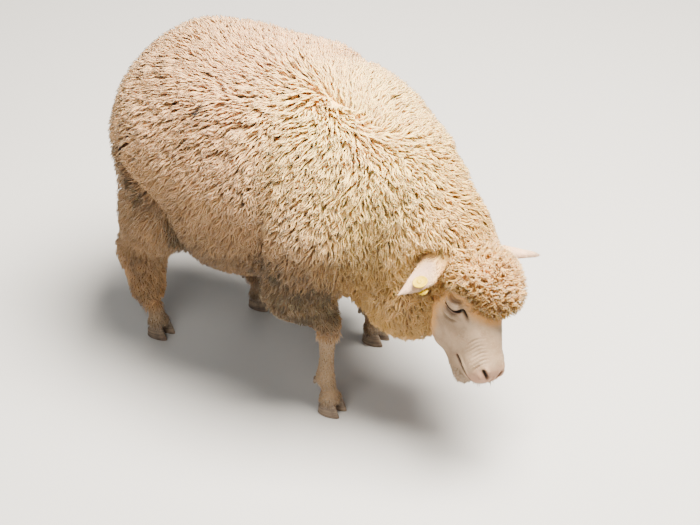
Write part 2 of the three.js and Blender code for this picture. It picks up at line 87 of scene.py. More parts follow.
def ease(low: float, high: float, x: Array) -> Array:
    """A smooth step: 0 at low and before, 1 at high and beyond."""
    t = np.clip((x - low) / (high - low), 0, 1)
    return t * t * (3 - 2 * t)


def turned(axis: str, degrees: float) -> Array:
    """The rotation matrix about one axis."""
    return np.array(Matrix.Rotation(math.radians(degrees), 3, axis))


def lattice_noise(p: Array, scale: float, seed: int) -> Array:
    """Smooth noise from -1 to 1: random values on a cubic lattice, blended by a smooth step on each axis.

    Args:
        p: Points, one a row.
        scale: The lattice's pitch.
        seed: Which noise.
    Returns:
        One value a point.
    """
    q = p / scale
    cell = np.floor(q).astype(np.int64)
    t = q - cell
    t = t * t * (3 - 2 * t)
    total = np.zeros(len(p))
    for corner in range(8):
        step = np.array([corner & 1, corner >> 1 & 1, corner >> 2])
        i, j, k = (cell + step).T
        mixed = (i * 73856093) ^ (j * 19349663) ^ (k * 83492791) ^ (seed * 40503321)
        mixed = (mixed ^ (mixed >> 13)) * 1274126177
        value = ((mixed ^ (mixed >> 16)) & 0xFFFF) / 0xFFFF * 2 - 1
        total += value * np.prod(np.where(step, t, 1 - t), axis=1)
    return total


# ---- implicit bodies
def ellipsoid(centre: Array, radii: tuple, turn: Array | None = None) -> Field:
    """About the distance to an ellipsoid: n (n - 1) / g, with n the scaled radius and g its slope.

    Args:
        centre: Its middle.
        radii: Its three half axes.
        turn: Its axes as columns, if it is turned.
    Returns:
        The field, negative inside.
    """
    centre, radii = np.asarray(centre, float), np.asarray(radii, float)

    def distance(p: Array) -> Array:
        """Distance from the ellipsoid, negative inside."""
        q = (p - centre if turn is None else (p - centre) @ turn) / radii
        slope = np.sqrt(squared(q / radii))
        near = np.sqrt(squared(q))
        return near * (near - 1) / np.maximum(slope, 1e-9)

    return distance


def capsule(a: Array, b: Array, ra: float, rb: float) -> Field:
    """The distance to a rod with round ends.

    Args:
        a: Where it starts.
        b: Where it ends.
        ra: Its radius at a.
        rb: Its radius at b.
    Returns:
        The field, negative inside.
    """
    a, ab = np.asarray(a, float), np.asarray(b, float) - np.asarray(a, float)

    def distance(p: Array) -> Array:
        """Distance from the rod, negative inside."""
        q = p - a
        t = np.clip(q @ ab / (ab @ ab), 0, 1)
        return np.sqrt(squared(q - t[:, None] * ab)) - (ra + (rb - ra) * t)

    return distance


def blend(k: float, *bodies: Field) -> Field:
    """Joins bodies: the smaller distance, less h^2 k / 4 with h = 1 - |d - e| / k where two of them are close.

    Args:
        k: About how wide the fillet is.
        bodies: The fields.
    Returns:
        The field of the whole.
    """

    def distance(p: Array) -> Array:
        """Distance from the joined body, negative inside."""
        d = bodies[0](p)
        for body in bodies[1:]:
            e = body(p)
            h = np.maximum(k - np.abs(d - e), 0) / k
            d = np.minimum(d, e) - h * h * k / 4
        return d

    return distance


def carve(k: float, body: Field, *hollows: Field) -> Field:
    """A body with each hollow taken away, its edge rounded over about k."""
    kept = blend(k, lambda p: -body(p), *hollows)
    return lambda p: -kept(p)


def grown(body: Field, by: float) -> Field:
    """A body's skin moved outward."""
    return lambda p: body(p) - by


def sampled(body: Field, p: Array) -> Array:
    """A field's values, worked out a chunk at a time."""
    return np.concatenate([body(p[i : i + CHUNK]) for i in range(0, max(len(p), 1), CHUNK)])


def grid_over(low: Array, high: Array, cell: float) -> Array:
    """A cubic grid of points from one corner to the other or just past it.

    Args:
        low: Lowest corner.
        high: Highest corner.
        cell: The pitch.
    Returns:
        The points, by three indices.
    """
    counts = np.ceil((high - low) / cell).astype(int) + 1
    steps = [low[k] + cell * np.arange(counts[k]) for k in range(3)]
    return np.stack(np.meshgrid(*steps, indexing="ij"), -1)


class Lattice:
    """A field kept as values on a cubic grid and read back by blending along each axis in turn."""

    def __init__(self, body: Field, low: Array, high: Array, cell: float) -> None:
        """Works out the values on a grid from low to high."""
        grid = grid_over(low, high, cell)
        self.low, self.cell, self.count = low, cell, np.array(grid.shape[:3])
        self.value = sampled(body, grid.reshape(-1, 3))

    def __call__(self, p: Array) -> Array:
        """The field's values.

        Args:
            p: Points.
        Returns:
            One for each.
        """
        q = np.clip((p - self.low) / self.cell, 0, self.count - 1.001)
        i = q.astype(int)
        t = q - i
        stride = np.array([self.count[1] * self.count[2], self.count[2], 1])
        at = i @ stride
        total = np.zeros(len(p))
        for corner in range(8):
            step = np.array([corner >> 2, corner >> 1 & 1, corner & 1])
            share = np.prod(np.where(step, t, 1 - t), axis=1)
            total += self.value[at + step @ stride] * share
        return total


CORNERS = np.array([[1, -1, -1], [-1, -1, 1], [-1, 1, -1], [1, 1, 1]], float)


def slope_of(body: Field, p: Array, h: float = 0.6) -> Array:
    """The gradient, from the values at the four corners of a small tetrahedron."""
    return sum(corner * sampled(body, p + corner * h)[:, None] for corner in CORNERS) / (4 * h)


def onto(body: Field, p: Array, level: Array | float = 0.0, steps: int = 3) -> Array:
    """Moves points along the gradient g by Newton's steps, each (value - level) / g^2.

    Args:
        body: The field.
        p: The points.
        level: The value wanted at each.
        steps: How many.
    Returns:
        The points, moved.
    """
    for _ in range(steps):
        g = slope_of(body, p)
        size = np.maximum(squared(g), 0.25)
        p = p - g * ((sampled(body, p) - level) / size)[:, None]
    return p


# ---- meshes
@dataclass
class Shell:
    """A triangle mesh with named values at its points."""

    points: Array
    triangles: Array
    values: dict[str, Array] = field(default_factory=dict)
    uv: Array | None = None  # one place a point, for the map named OFBake

    def faces(self) -> Array:
        """Each triangle's normal, twice as long as the triangle is large."""
        corner = self.points[self.triangles]
        return np.cross(corner[:, 1] - corner[:, 0], corner[:, 2] - corner[:, 0])

    def joined(self, other: "Shell") -> "Shell":
        """Both meshes, which have the same values, as one."""
        shift = len(self.points)
        return Shell(
            np.concatenate([self.points, other.points]),
            np.concatenate([self.triangles, other.triangles + shift]),
            {name: np.concatenate([v, other.values[name]]) for name, v in self.values.items()},
            None if self.uv is None else np.concatenate([self.uv, other.uv]),
        )


def surface_nets(body: Field, low: Array, high: Array, cell: float) -> Shell:
    """Skins a field: one point in each cell that the surface crosses, the mean of the crossings on its edges,
    and two triangles round each crossed edge.

    Args:
        body: The field, negative inside.
        low: Lowest corner.
        high: Highest corner.
        cell: The pitch.
    Returns:
        The closed skin.
    """
    grid = grid_over(low, high, cell)
    n = np.array(grid.shape[:3])
    value = sampled(body, grid.reshape(-1, 3)).reshape(n)
    total, count = np.zeros((*(n - 1), 3)), np.zeros(n - 1)
    crossed = []
    for axis in range(3):
        a = value.take(np.arange(n[axis] - 1), axis)
        b = value.take(np.arange(1, n[axis]), axis)
        cut = (a < 0) != (b < 0)
        place = grid.take(np.arange(n[axis] - 1), axis).copy()
        place[..., axis] += cell * np.where(cut, a / np.where(cut, a - b, 1), 0)
        crossed.append((cut, a < 0))
        s, t = (axis + 1) % 3, (axis + 2) % 3
        for ds, dt in ((0, 0), (0, 1), (1, 0), (1, 1)):
            edge = [slice(None)] * 3
            edge[s], edge[t] = slice(ds, n[s] - 1 + ds), slice(dt, n[t] - 1 + dt)
            count += cut[tuple(edge)]
            total += place[tuple(edge)] * cut[tuple(edge)][..., None]
    used = count > 0
    number = np.full(n - 1, -1)
    number[used] = np.arange(used.sum())
    quads = []
    for axis, (cut, below) in enumerate(crossed):
        s, t = (axis + 1) % 3, (axis + 2) % 3
        at = np.argwhere(cut)
        at = at[(at[:, s] > 0) & (at[:, t] > 0) & (at[:, s] < n[s] - 1) & (at[:, t] < n[t] - 1)]
        ring = []
        for ds, dt in ((1, 1), (0, 1), (0, 0), (1, 0)):
            around = at.copy()
            around[:, s] -= ds
            around[:, t] -= dt
            ring.append(number[tuple(around.T)])
        quad = np.stack(ring, 1)
        out = below[tuple(at.T)]
        quads.append(np.where(out[:, None], quad, quad[:, ::-1]))
    quad = np.concatenate(quads)
    return Shell(total[used] / count[used][:, None], np.concatenate([quad[:, [0, 1, 2]], quad[:, [0, 2, 3]]]))


def refined(shell: Shell, size_at: Field, settle: Settle, rounds: int) -> Shell:
    """Splits every edge that is longer than the size wanted at its middle, until none is or the rounds end.

    A triangle with one, two or three split edges becomes two, three or four, so the skin stays closed.

    Args:
        shell: The skin.
        size_at: The edge length wanted at points.
        settle: Brings new points onto the surface.
        rounds: The most times that an edge is halved.
    Returns:
        The finer skin.
    """
    points, tris = shell.points, shell.triangles
    for _ in range(rounds):
        ends = np.sort(np.concatenate([tris[:, [0, 1]], tris[:, [1, 2]], tris[:, [2, 0]]]), axis=1)
        edges, which = np.unique(ends[:, 0] * len(points) + ends[:, 1], return_inverse=True)
        a, b = points[edges // len(points)], points[edges % len(points)]
        middle = (a + b) / 2
        long = np.linalg.norm(a - b, axis=1) > 1.35 * size_at(middle)
        if not long.any():
            break
        number = np.full(len(edges), -1)
        number[long] = len(points) + np.arange(long.sum())
        points = np.concatenate([points, settle(middle[long])])
        mid = number[which].reshape(3, -1).T
        split = (mid >= 0).sum(1)
        # each triangle is turned so that its first edge is split, and its last one is whole if it can be
        first = np.where(split == 2, (np.argmin(mid, axis=1) + 1) % 3, np.argmax(mid >= 0, axis=1))
        order = (first[:, None] + np.arange(3)) % 3
        tri, mid = np.take_along_axis(tris, order, 1), np.take_along_axis(mid, order, 1)
        (p0, p1, p2), (m0, m1, m2) = tri.T, mid.T
        parts = [tri[split == 0]]
        for cuts, pieces in (
            (1, ((p0, m0, p2), (m0, p1, p2))),
            (2, ((m0, p1, m1), (p0, m0, m1), (p0, m1, p2))),
            (3, ((p0, m0, m2), (m0, p1, m1), (m2, m1, p2), (m0, m1, m2))),
        ):
            parts += [np.stack(piece, 1)[split == cuts] for piece in pieces]
        tris = np.concatenate(parts)
    return Shell(points, tris)


def summed(at: Array, rows: Array, count: int) -> Array:
    """Adds up rows of three numbers at each of a number of points."""
    return np.stack([np.bincount(at, rows[:, k], count) for k in range(3)], 1)


def relaxed(shell: Shell, settle: Settle, rounds: int) -> Shell:
    """Evens out a skin: each point moves half way to the mean of its neighbours, then back onto the surface.

    Args:
        shell: The skin.
        settle: Brings points onto the surface.
        rounds: How often.
    Returns:
        The evener skin.
    """
    points, tris = shell.points, shell.triangles
    ends = np.concatenate([tris[:, [0, 1]], tris[:, [1, 2]], tris[:, [2, 0]]])
    count = np.bincount(ends.ravel(), minlength=len(points))
    for _ in range(rounds):
        total = sum(summed(ends[:, k], points[ends[:, 1 - k]], len(points)) for k in (0, 1))
        points = settle(points + 0.5 * (total / count[:, None] - points))
    return Shell(points, tris)


def normals_of(shell: Shell) -> Array:
    """Unit normals: the sum of the normals of the triangles round each point."""
    face = np.repeat(shell.faces(), 3, axis=0)
    return unit(summed(shell.triangles.ravel(), face, len(shell.points)))


def curve_through(knots: Array, count: int) -> Array:
    """A smooth path through a few points: a Catmull-Rom spline over each stretch.

    Args:
        knots: The points, with any number of columns.
        count: How many points the path gets.
    Returns:
        The path.
    """
    knots = np.asarray(knots, float)
    padded = np.concatenate([[2 * knots[0] - knots[1]], knots, [2 * knots[-1] - knots[-2]]])
    s = np.linspace(0, len(knots) - 1, count)
    i = np.minimum(s.astype(int), len(knots) - 2)
    t = (s - i)[:, None]
    a, b, c, d = padded[i], padded[i + 1], padded[i + 2], padded[i + 3]
    return 0.5 * (2 * b + (c - a) * t + (2 * a - 5 * b + 4 * c - d) * t**2 + (3 * b - a - 3 * c + d) * t**3)


def swept(rings: Array) -> Shell:
    """Skins a stack of like rings, each with its points counter-clockwise about the way that they go, and closes
    both ends with a fan to the ring's middle.

    Args:
        rings: Rings by points by three.
    Returns:
        The closed skin.
    """
    count, sides, _ = rings.shape
    r, s = np.meshgrid(np.arange(count - 1), np.arange(sides), indexing="ij")
    a, b = (r * sides + s).ravel(), (r * sides + (s + 1) % sides).ravel()
    s = np.arange(sides)
    after, last = (s + 1) % sides, (count - 1) * sides
    low, high = np.full(sides, count * sides), np.full(sides, count * sides + 1)
    fans = [np.stack([low, after, s], 1), np.stack([high, s + last, after + last], 1)]
    bands = [np.stack([a, b, b + sides], 1), np.stack([a, b + sides, a + sides], 1)]
    points = np.concatenate([rings.reshape(-1, 3), rings[0].mean(0)[None], rings[-1].mean(0)[None]])
    return Shell(points, np.concatenate(bands + fans))


# ---- the body's forms
@dataclass(frozen=True)
class Body:
    """The ewe's stance and main sizes, and the fields of its fleece, face, legs and tail."""

    back: float = 730
    belly: float = 252
    girth: float = 496
    rump_x: float = -392
    poll: tuple = (415, -5, 430)  # top of the skull, under the wool
    head_yaw: float = -38
    head_pitch: float = 47
    head_roll: float = 22
    feet: dict = field(
        default_factory=lambda: {
            ("fore", "right"): (185, -135), ("fore", "left"): (132, 112),
            ("hind", "right"): (-275, -135), ("hind", "left"): (-150, 72),
        }
    )
    knee_hem: float = 206
    hock_hem: float = 84
    claw_long: float = 52
    claw_wide: float = 25
    claw_high: float = 34
    heel_high: float = 19
    eye_radius: float = 13.4
    eye_at: tuple = (100.5, 50, 16)
    eye_axis: tuple = (0.26, 0.9, 0.36)
    tail_stations: tuple = (  # along the body, height, and half depth, which is the rod's radius
        (-318, 592, 26), (-368, 572, 28), (-388, 532, 27), (-393, 488, 25), (-392, 450, 20), (-390, 430, 10),
    )
    leg_stations: dict = field(
        default_factory=lambda: {
            # height, how far forward of the foot, half width, half depth
            "fore": ((240, -2, 20, 22), (214, 0, 22, 24), (180, -3, 15, 18), (128, -5, 13, 16), (82, -8, 19, 21)),
            "hind": (
                (250, -40, 19, 22), (200, -36, 21, 27), (160, -27, 15, 19), (114, -18, 15, 18), (80, -14, 19, 22),
            ),
        }
    )
    pastern: tuple = (60, -1, 16, 17)  # in the same columns
    coat_body: float = 25  # depth of the wool on the trunk
    coat_low: float = 13  # and on the woolly legs
    coat_head: float = 17
    coat_tail: float = 11

    @property
    def turn(self) -> Array:
        """The head's axes as columns: forward to the nose, left, and out of the forehead."""
        return turned("Z", self.head_yaw) @ turned("Y", self.head_pitch) @ turned("X", -self.head_roll)

    def on_head(self, f: float, l: float, u: float) -> Array:
        """A point given on the head."""
        return self.turn @ np.array([f, l, u], float) + np.array(self.poll, float)

    def to_head(self, p: Array) -> Array:
        """Points in the head's own coordinates."""
        return (p - np.array(self.poll, float)) @ self.turn

    def from_head(self, q: Array) -> Array:
        """Points from the head's own coordinates."""
        return q @ self.turn.T + np.array(self.poll, float)

    def eye_centre(self, side: int) -> Array:
        """Middle of an eyeball."""
        return self.on_head(self.eye_at[0], side * self.eye_at[1], self.eye_at[2])

    @property
    def origin(self) -> Array:
        """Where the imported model's origin lies on the body, from the middle of the left eye."""
        low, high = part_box("eye_left")
        return self.eye_centre(1) - (np.array(low) + np.array(high)) / 2 / MM

    def placed(self, p: Array) -> Array:
        """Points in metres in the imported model's frame."""
        return (p - self.origin) * MM

    @property
    def mid_z(self) -> float:
        """Height of the trunk's middle."""
        return (self.back + self.belly) / 2

    @property
    def coronet_top(self) -> float:
        """Height of the coronet over the middle of a foot."""
        return (self.claw_high + self.heel_high) / 2

    @property
    def coronet(self) -> Array:
        """The way that the coronet slopes, from the heel up to the front."""
        return unit(np.array([self.claw_long * 0.72, 0, self.claw_high - self.heel_high]))

    def trunk(self) -> list[Field]:
        """Wool of the ribs, belly, rump, shoulders and brisket."""
        half, depth, mid = self.girth / 2, (self.back - self.belly) / 2, self.mid_z
        return [
            ellipsoid((0, 6, mid + 10), (325, half + 2, depth - 4)),
            ellipsoid((-85, -4, mid - 44), (225, half - 4, depth - 6)),
            ellipsoid((self.rump_x + 190, 0, mid + 24), (190, half - 12, depth - 28)),
            *(capsule((-140, s * 95, 600), (10, s * 95, 600), 98, 100) for s in SIDES.values()),
            ellipsoid((142, 0, mid - 6), (204, half - 28, depth - 10)),
            ellipsoid((262, 0, mid - 124), (118, 130, 165)),
        ]

    def haunch(self, side: str) -> Field:
        """Wool of a thigh and hock.

        Args:
            side: Left or right.
        Returns:
            The field.
        """
        x, y = self.feet["hind", side]
        s = SIDES[side]
        hip, stifle = (-230, s * 105, 480), (x + 38, s * 135, 350)
        hock, hem = (x - 25, y, 225), (x - 19, y, self.hock_hem + 32)
        return blend(30, capsule(hip, stifle, 120, 94), capsule(stifle, hock, 88, 54), capsule(hock, hem, 54, 42))

    def shoulder(self, side: str) -> Field:
        """Wool of a shoulder and forearm.

        Args:
            side: Left or right.
        Returns:
            The field.
        """
        x, y = self.feet["fore", side]
        s = SIDES[side]
        blade, elbow = (150, s * 120, 450), (120, s * 150, 320)
        return blend(30, capsule(blade, elbow, 130, 85), capsule(elbow, (x, y, self.knee_hem + 30), 66, 33))

    def neck(self) -> list[Field]:
        """Wool of the nape, the throat and the ruff."""
        return [
            capsule((256, 0, 506), (350, -16, 458), 160, 119),
            capsule((280, -10, 405), self.on_head(0, 0, -80), 140, 104),
            capsule((319, -47, 328), self.on_head(14, -50, -152), 107, 66),
        ]

    def head_wool(self) -> list[Field]:
        """Wool of the cranium, topknot, fringe and cheeks."""
        at, turn = self.on_head, self.turn
        return [
            ellipsoid(at(28, 6, 0), (90, 74, 62), turn),
            ellipsoid(at(58, -3, 54), (59, 86, 70), turn),
            ellipsoid(at(103, 12, 68), (50, 60, 50), turn),
            *(capsule(at(-15, s * 55, -80), at(84, s * 46, -124), 86, 58) for s in SIDES.values()),
        ]

    def fleece(self, clearings: list[Field]) -> Field:
        """The whole fleece out to its tips, standing clear of the eyes and ears.

        Args:
            clearings: The hollows round the ears.
        Returns:
            The field.
        """
        limbs = [f for side in SIDES for f in (self.haunch(side), self.shoulder(side))]
        eyes = [
            capsule(self.on_head(102, s * 56, 14), self.on_head(188, s * 150, 14), 27, 86) for s in SIDES.values()
        ]
        whole = blend(34, *self.trunk(), *limbs, *self.neck(), *self.head_wool())
        return carve(18, whole, *eyes, *clearings)

    def face(self) -> Field:
        """Skull, nose, jaws, orbits, jowls and lips."""
        at, turn, sides = self.on_head, self.turn, SIDES.values()
        return blend(
            22,
            ellipsoid(at(52, 0, -8), (85, 64, 62), turn),
            capsule(at(86, 0, 24), at(206, 0, 2), 48, 32),
            capsule(at(105, 0, -12), at(220, 0, -14), 50, 34),
            *(capsule(at(90, s * 38, 20), at(116, s * 36, 16), 28, 21) for s in sides),
            *(capsule(at(50, s * 39, -64), at(150, s * 26, -67), 43, 29) for s in sides),
            *(capsule(at(92, s * 32, -30), at(182, s * 14, -40), 36, 27) for s in sides),
            *(ellipsoid(at(229, s * 15, -11), (29, 24, 30), turn) for s in sides),
            capsule(at(130, 0, -82), at(231, 0, -74), 32, 22),
        )

    def tail(self) -> Field:
        """Wool of the docked tail: rods from station to station, flattened by widening them across."""
        flat = 0.68
        rods = [
            capsule((a[0], 0, a[1]), (b[0], 0, b[1]), a[2], b[2])
            for a, b in zip(self.tail_stations, self.tail_stations[1:])
        ]
        rounded = blend(10, *rods)
        return lambda p: rounded(p * np.array([1, flat, 1]))

    def lower_leg(self, kind: str, side: str, margin: float) -> Field:
        """A leg below the wool: an ellipse at each height, its sizes on a smooth curve through the stations, cut off
        on the slope of the coronet.

        Args:
            kind: Fore or hind.
            side: Left or right.
            margin: How far it reaches past the leg's own sizes.
        Returns:
            The field, negative inside.
        """
        x, y = self.feet[kind, side]
        rise = self.coronet_top
        foot = ((rise + 10, 3, 22, 20.5), (rise - 6, 3, 23, 21))
        path = curve_through((*self.leg_stations[kind], self.pastern, *foot), 80)[::-1]
        across = np.array([-self.coronet[2], 0, self.coronet[0]])
        bottom = np.array([x + 3, y, rise - 3])

        def distance(p: Array) -> Array:
            """Distance from the leg, negative inside."""
            forward, wide, deep = (np.interp(p[:, 2], path[:, 0], path[:, k]) for k in (1, 2, 3))
            wide, deep = wide + margin, deep + margin
            off = np.stack([(p[:, 0] - x - forward) / deep, (p[:, 1] - y) / wide], 1)
            around = (np.sqrt((off**2).sum(1)) - 1) * np.minimum(wide, deep)
            top = p[:, 2] - path[-1, 0]
            return np.maximum(np.maximum(around, top), -(p - bottom) @ across)

        return distance


class Zone(Enum):
    """The sorts of coat."""

    TRUNK = 0
    NECK = 1
    HEAD = 2
    LEG = 3
    TAIL = 4


@dataclass(frozen=True)
class Crease:
    """A valley, slit or, with a negative depth, a ridge along a smooth path over the face.

    The path is for the right side; its twin mirrors it. The skin sinks by depth * exp(-(d / half)^power), with d
    the distance from the path, and fades at both ends over the share given by fade.
    """

    path: tuple
    half: float
    depth: float
    power: int = 2
    fade: float = 0.4
    paired: bool = True
    shift: tuple = (0, 0, 0)

    def line(self, side: int) -> Array:
        """The path for one side, in the head's coordinates."""
        line = curve_through(np.array(self.path) + np.array(self.shift), 30)
        line[:, 1] *= -side
        return line

    def sunk(self, q: Array, line: Array) -> Array:
        """How far the skin sinks.

        Args:
            q: Points on the head.
            line: The crease's path, laid on the face.
        Returns:
            A depth for each point.
        """
        near = np.linalg.norm(q - line.mean(0), axis=1) < np.ptp(line, axis=0).max() + 3 * self.half
        made = np.zeros(len(q))
        if near.any():
            gap = np.linalg.norm(q[near][:, None] - line[None], axis=2)
            along = np.argmin(gap, axis=1) / (len(line) - 1)
            end = ease(0, self.fade, along) * ease(0, self.fade, 1 - along)
            made[near] = self.depth * end * np.exp(-((gap.min(1) / self.half) ** self.power))
        return made


LID_SLIT = (
    (91, -66, -3), (95, -65, 1), (103, -63.5, 3.5), (111.5, -61.2, 9.5), (115.5, -58.5, 18), (116.4, -57.8, 26)
)
LID_UP = np.array([-0.7, 0, 0.71])  # up over the closed eye, from its slit
TEAR = ((114, -59, 15), (116, -57.8, 23), (117.5, -55.4, 30), (125, -52.5, 31), (135, -48.5, 28.5), (150, -43.5, 19))


def lid(up: float, half: float, depth: float, fade: float = 0.3) -> Crease:
    """A fold or bulge of a lid: the slit's path, moved up over the eye."""
    return Crease(LID_SLIT, half, depth, shift=tuple(up * LID_UP), fade=fade)


@dataclass(frozen=True)
class Relief:
    """The folds and openings of the face, in the head's coordinates, laid on its surface."""

    lay: Settle  # brings points on the head onto the face
    slit: Crease = Crease(LID_SLIT, 2.6, 6.8, power=4, fade=0.08)
    tear: Crease = Crease(TEAR, 3.2, 6.2, fade=0.3)
    lids: tuple = (
        lid(3.6, 1.6, -1.8, 0.2),  # rim of the upper lid
        lid(12.0, 7.0, -7.5),
        lid(7.4, 1.1, 1.2),
        lid(13.0, 1.2, 1.5),
        lid(20.0, 2.2, 3.8),
        lid(25.0, 3.0, 4.0, 0.4),  # under the brow
        lid(-3.4, 1.5, -1.5, 0.2),  # rim of the lower lid
        lid(-7.6, 1.4, 1.6),
        lid(-15.0, 7.0, -6.6, 0.35),
        lid(-26.0, 3.4, 3.2, 0.4),
        Crease(((121, -50, 38), (131, -48, 38), (143, -43, 30)), 3.2, -1.6),
        Crease(((122, -55, 22), (132, -52, 20), (142, -48, 12)), 3.4, -1.8),
    )
    nostril: Crease = Crease(
        ((254, -10, 2), (250.5, -17, 11), (243, -24, 15.5), (234, -28.5, 17)), 3.3, 9.5, power=3, fade=0.25
    )
    wings: tuple = (
        Crease(((250, -16, 20), (242, -23, 24), (230, -27, 25)), 4.6, -3.2),
        Crease(((253, -18, -1), (247, -28, 4), (236, -34, 8)), 4.6, -3.0),
        Crease(((224, -34, 22), (229, -35, 10), (238, -35, -4)), 3.0, 2.4),
    )
    mouth: Crease = Crease(
        ((194, -41, -37), (206, -38, -35), (218, -38.5, -30), (230, -39, -24.5), (243, -35, -22), (251, -26, -24),
         (256, -8, -26)), 3.0, 7.0, power=3, fade=0.05,
    )
    lips: tuple = (
        Crease(((190, -42, -28), (210, -40, -24), (232, -37, -16), (249, -22, -16)), 3.6, -2.2, fade=0.3),
        Crease(((196, -40, -44), (212, -38, -39), (230, -33, -33), (245, -18, -33)), 4.2, -3.0, fade=0.3),
        Crease(((188, -42, -30), (192, -42, -38), (188, -40, -47)), 2.8, 2.0),
    )
    philtrum: Crease = Crease(
        ((250, 0, 14), (256, 0, 4), (258, 0, -10), (256, 0, -26)), 1.9, 3.2, fade=0.2, paired=False
    )

    def wrinkles(self) -> list[Crease]:
        """Fine creases across the bridge and side of the nose, each a little further forward than the last."""
        made = []
        first, pitch = 176, 7.2
        for k in range(8):
            f = first + pitch * k
            path = ((f + 9, -38, -8), (f + 4, -35, 8), (f - 1, -26, 22), (f + (k % 3), -9, 31))
            made.append(Crease(path, 1.8, 2.0 - 0.7 * (k % 2), fade=0.45))
        return made

    def planes(self) -> list[Crease]:
        """Broad hollows and swells: below the eye, along the cheekbone, and behind the nostril."""
        broad = (
            (((128, -50, -6), (150, -46, -10), (176, -40, -8)), 12, 3.8),
            (((96, -60, -34), (124, -54, -32), (150, -48, -28)), 8, -3.2),
            (((112, -48, -50), (140, -44, -50), (168, -38, -46)), 8, 2.8),
            (((132, -36, 42), (158, -30, 40), (186, -24, 34)), 8, 1.4),
        )
        return [Crease(*one, fade=0.5) for one in broad]

    def total(self, q: Array, creases: list[Crease]) -> Array:
        """The sum of some creases on both sides.

        Args:
            q: Points on the head.
            creases: The right side's.
        Returns:
            A depth for each point.
        """
        made = np.zeros(len(q))
        for crease in creases:
            for side in (-1, 1) if crease.paired else (-1,):
                made += crease.sunk(q, self.lay(crease.line(side)))
        return made

    def sunk(self, q: Array) -> Array:
        """How far the skin sinks below its plain form at points on the head."""
        every = [self.slit, self.tear, *self.lids, self.nostril, *self.wings, self.mouth, *self.lips]
        return self.total(q, [*every, self.philtrum, *self.wrinkles(), *self.planes()])

    def dark(self, q: Array) -> Array:
        """Painted shade on the bare skin: in the slits of the lids, nostrils and mouth, in the tear groove, along the
        wrinkles and the folds of the lids, and round the eye.

        Args:
            q: Points on the head.
        Returns:
            A share for each.
        """
        # each opening, how strong its painted shade is, and how much wider than the opening
        parts = ((self.slit, 1.6, 1.45), (self.tear, 1.1, 1.1), (self.nostril, 1.2, 1.15), (self.mouth, 1.5, 1.2))
        made = [self.total(q, [replace(c, depth=deep, half=wide * c.half)]) for c, deep, wide in parts]
        # painted shade along the nose's wrinkles, the folds above and below the eye, and in a broad halo round it
        folds = [replace(crease, depth=0.2) for crease in self.wrinkles()]
        folds += [lid(up, half, 0.2) for up, half in ((7.4, 1.1), (13.0, 1.2))]
        folds += [lid(up, half, 0.4) for up, half in ((19.5, 2.4), (25.0, 3.4), (-7.6, 1.6), (-26.0, 3))]
        folds.append(lid(2, 13, 0.14))
        return np.clip(sum(made) + self.total(q, folds), 0, 1)

    def pink(self, q: Array) -> Array:
        """Where the hair is thin and the skin shows pink: round the nostrils, the lips and the rims of the lids.

        Args:
            q: Points on the head.
        Returns:
            A share for each.
        """
        nose = ease(226, 252, q[:, 0]) * ease(-36, -20, q[:, 2])
        lids = self.total(q, [replace(self.slit, half=5, depth=1, power=2)])
        mouth = self.total(q, [replace(self.mouth, half=5, depth=1, power=2)])
        return np.clip(nose * 0.8 + lids * 0.9 + mouth * 0.6, 0, 1)


@dataclass(frozen=True)
class Fold:
    """A soft valley in the fleece along a path on its surface, on both sides of the body: depth * exp(-(d / half)^2),
    with d the distance from the path, of which the part across the body counts less, so that skin sinks too."""

    path: tuple  # on the right side
    half: float
    depth: float

    def sunk(self, p: Array) -> Array:
        """How far the outline sinks.

        Args:
            p: Points.
        Returns:
            A depth for each point.
        """
        line = curve_through(self.path, 26)
        made = np.zeros(len(p))
        for side in (1, -1):
            twin, reach = line * np.array([1, side, 1]), 2.3 * self.half * np.array([1, 4, 1])
            near = ((p > twin.min(0) - reach) & (p < twin.max(0) + reach)).all(1) & (p[:, 1] * side < -40)
            if near.any():
                gap = (p[near][:, None] - twin[None]) * np.array([1, 0.3, 1])
                gap = np.sqrt(np.einsum("ijk,ijk->ij", gap, gap).min(1))
                made[near] = np.maximum(made[near], self.depth * np.exp(-((gap / self.half) ** 2)))
        return made


FOLDS = (
    Fold(((-300, -205, 500), (-254, -224, 471), (-219, -231, 448), (-189, -232, 426), (-161, -230, 400),
          (-145, -220, 363), (-138, -195, 325)), 19, 30),  # in front of the thigh
    Fold(((50, -110, 706), (72, -168, 662), (79, -197, 624), (83, -223, 571), (90, -238, 512), (88, -235, 437),
          (80, -225, 366), (70, -195, 318)), 17, 12),  # behind the shoulder
    Fold(((340, -100, 577), (317, -132, 551), (301, -152, 499), (300, -149, 424), (319, -145, 359)), 18, 8),
)


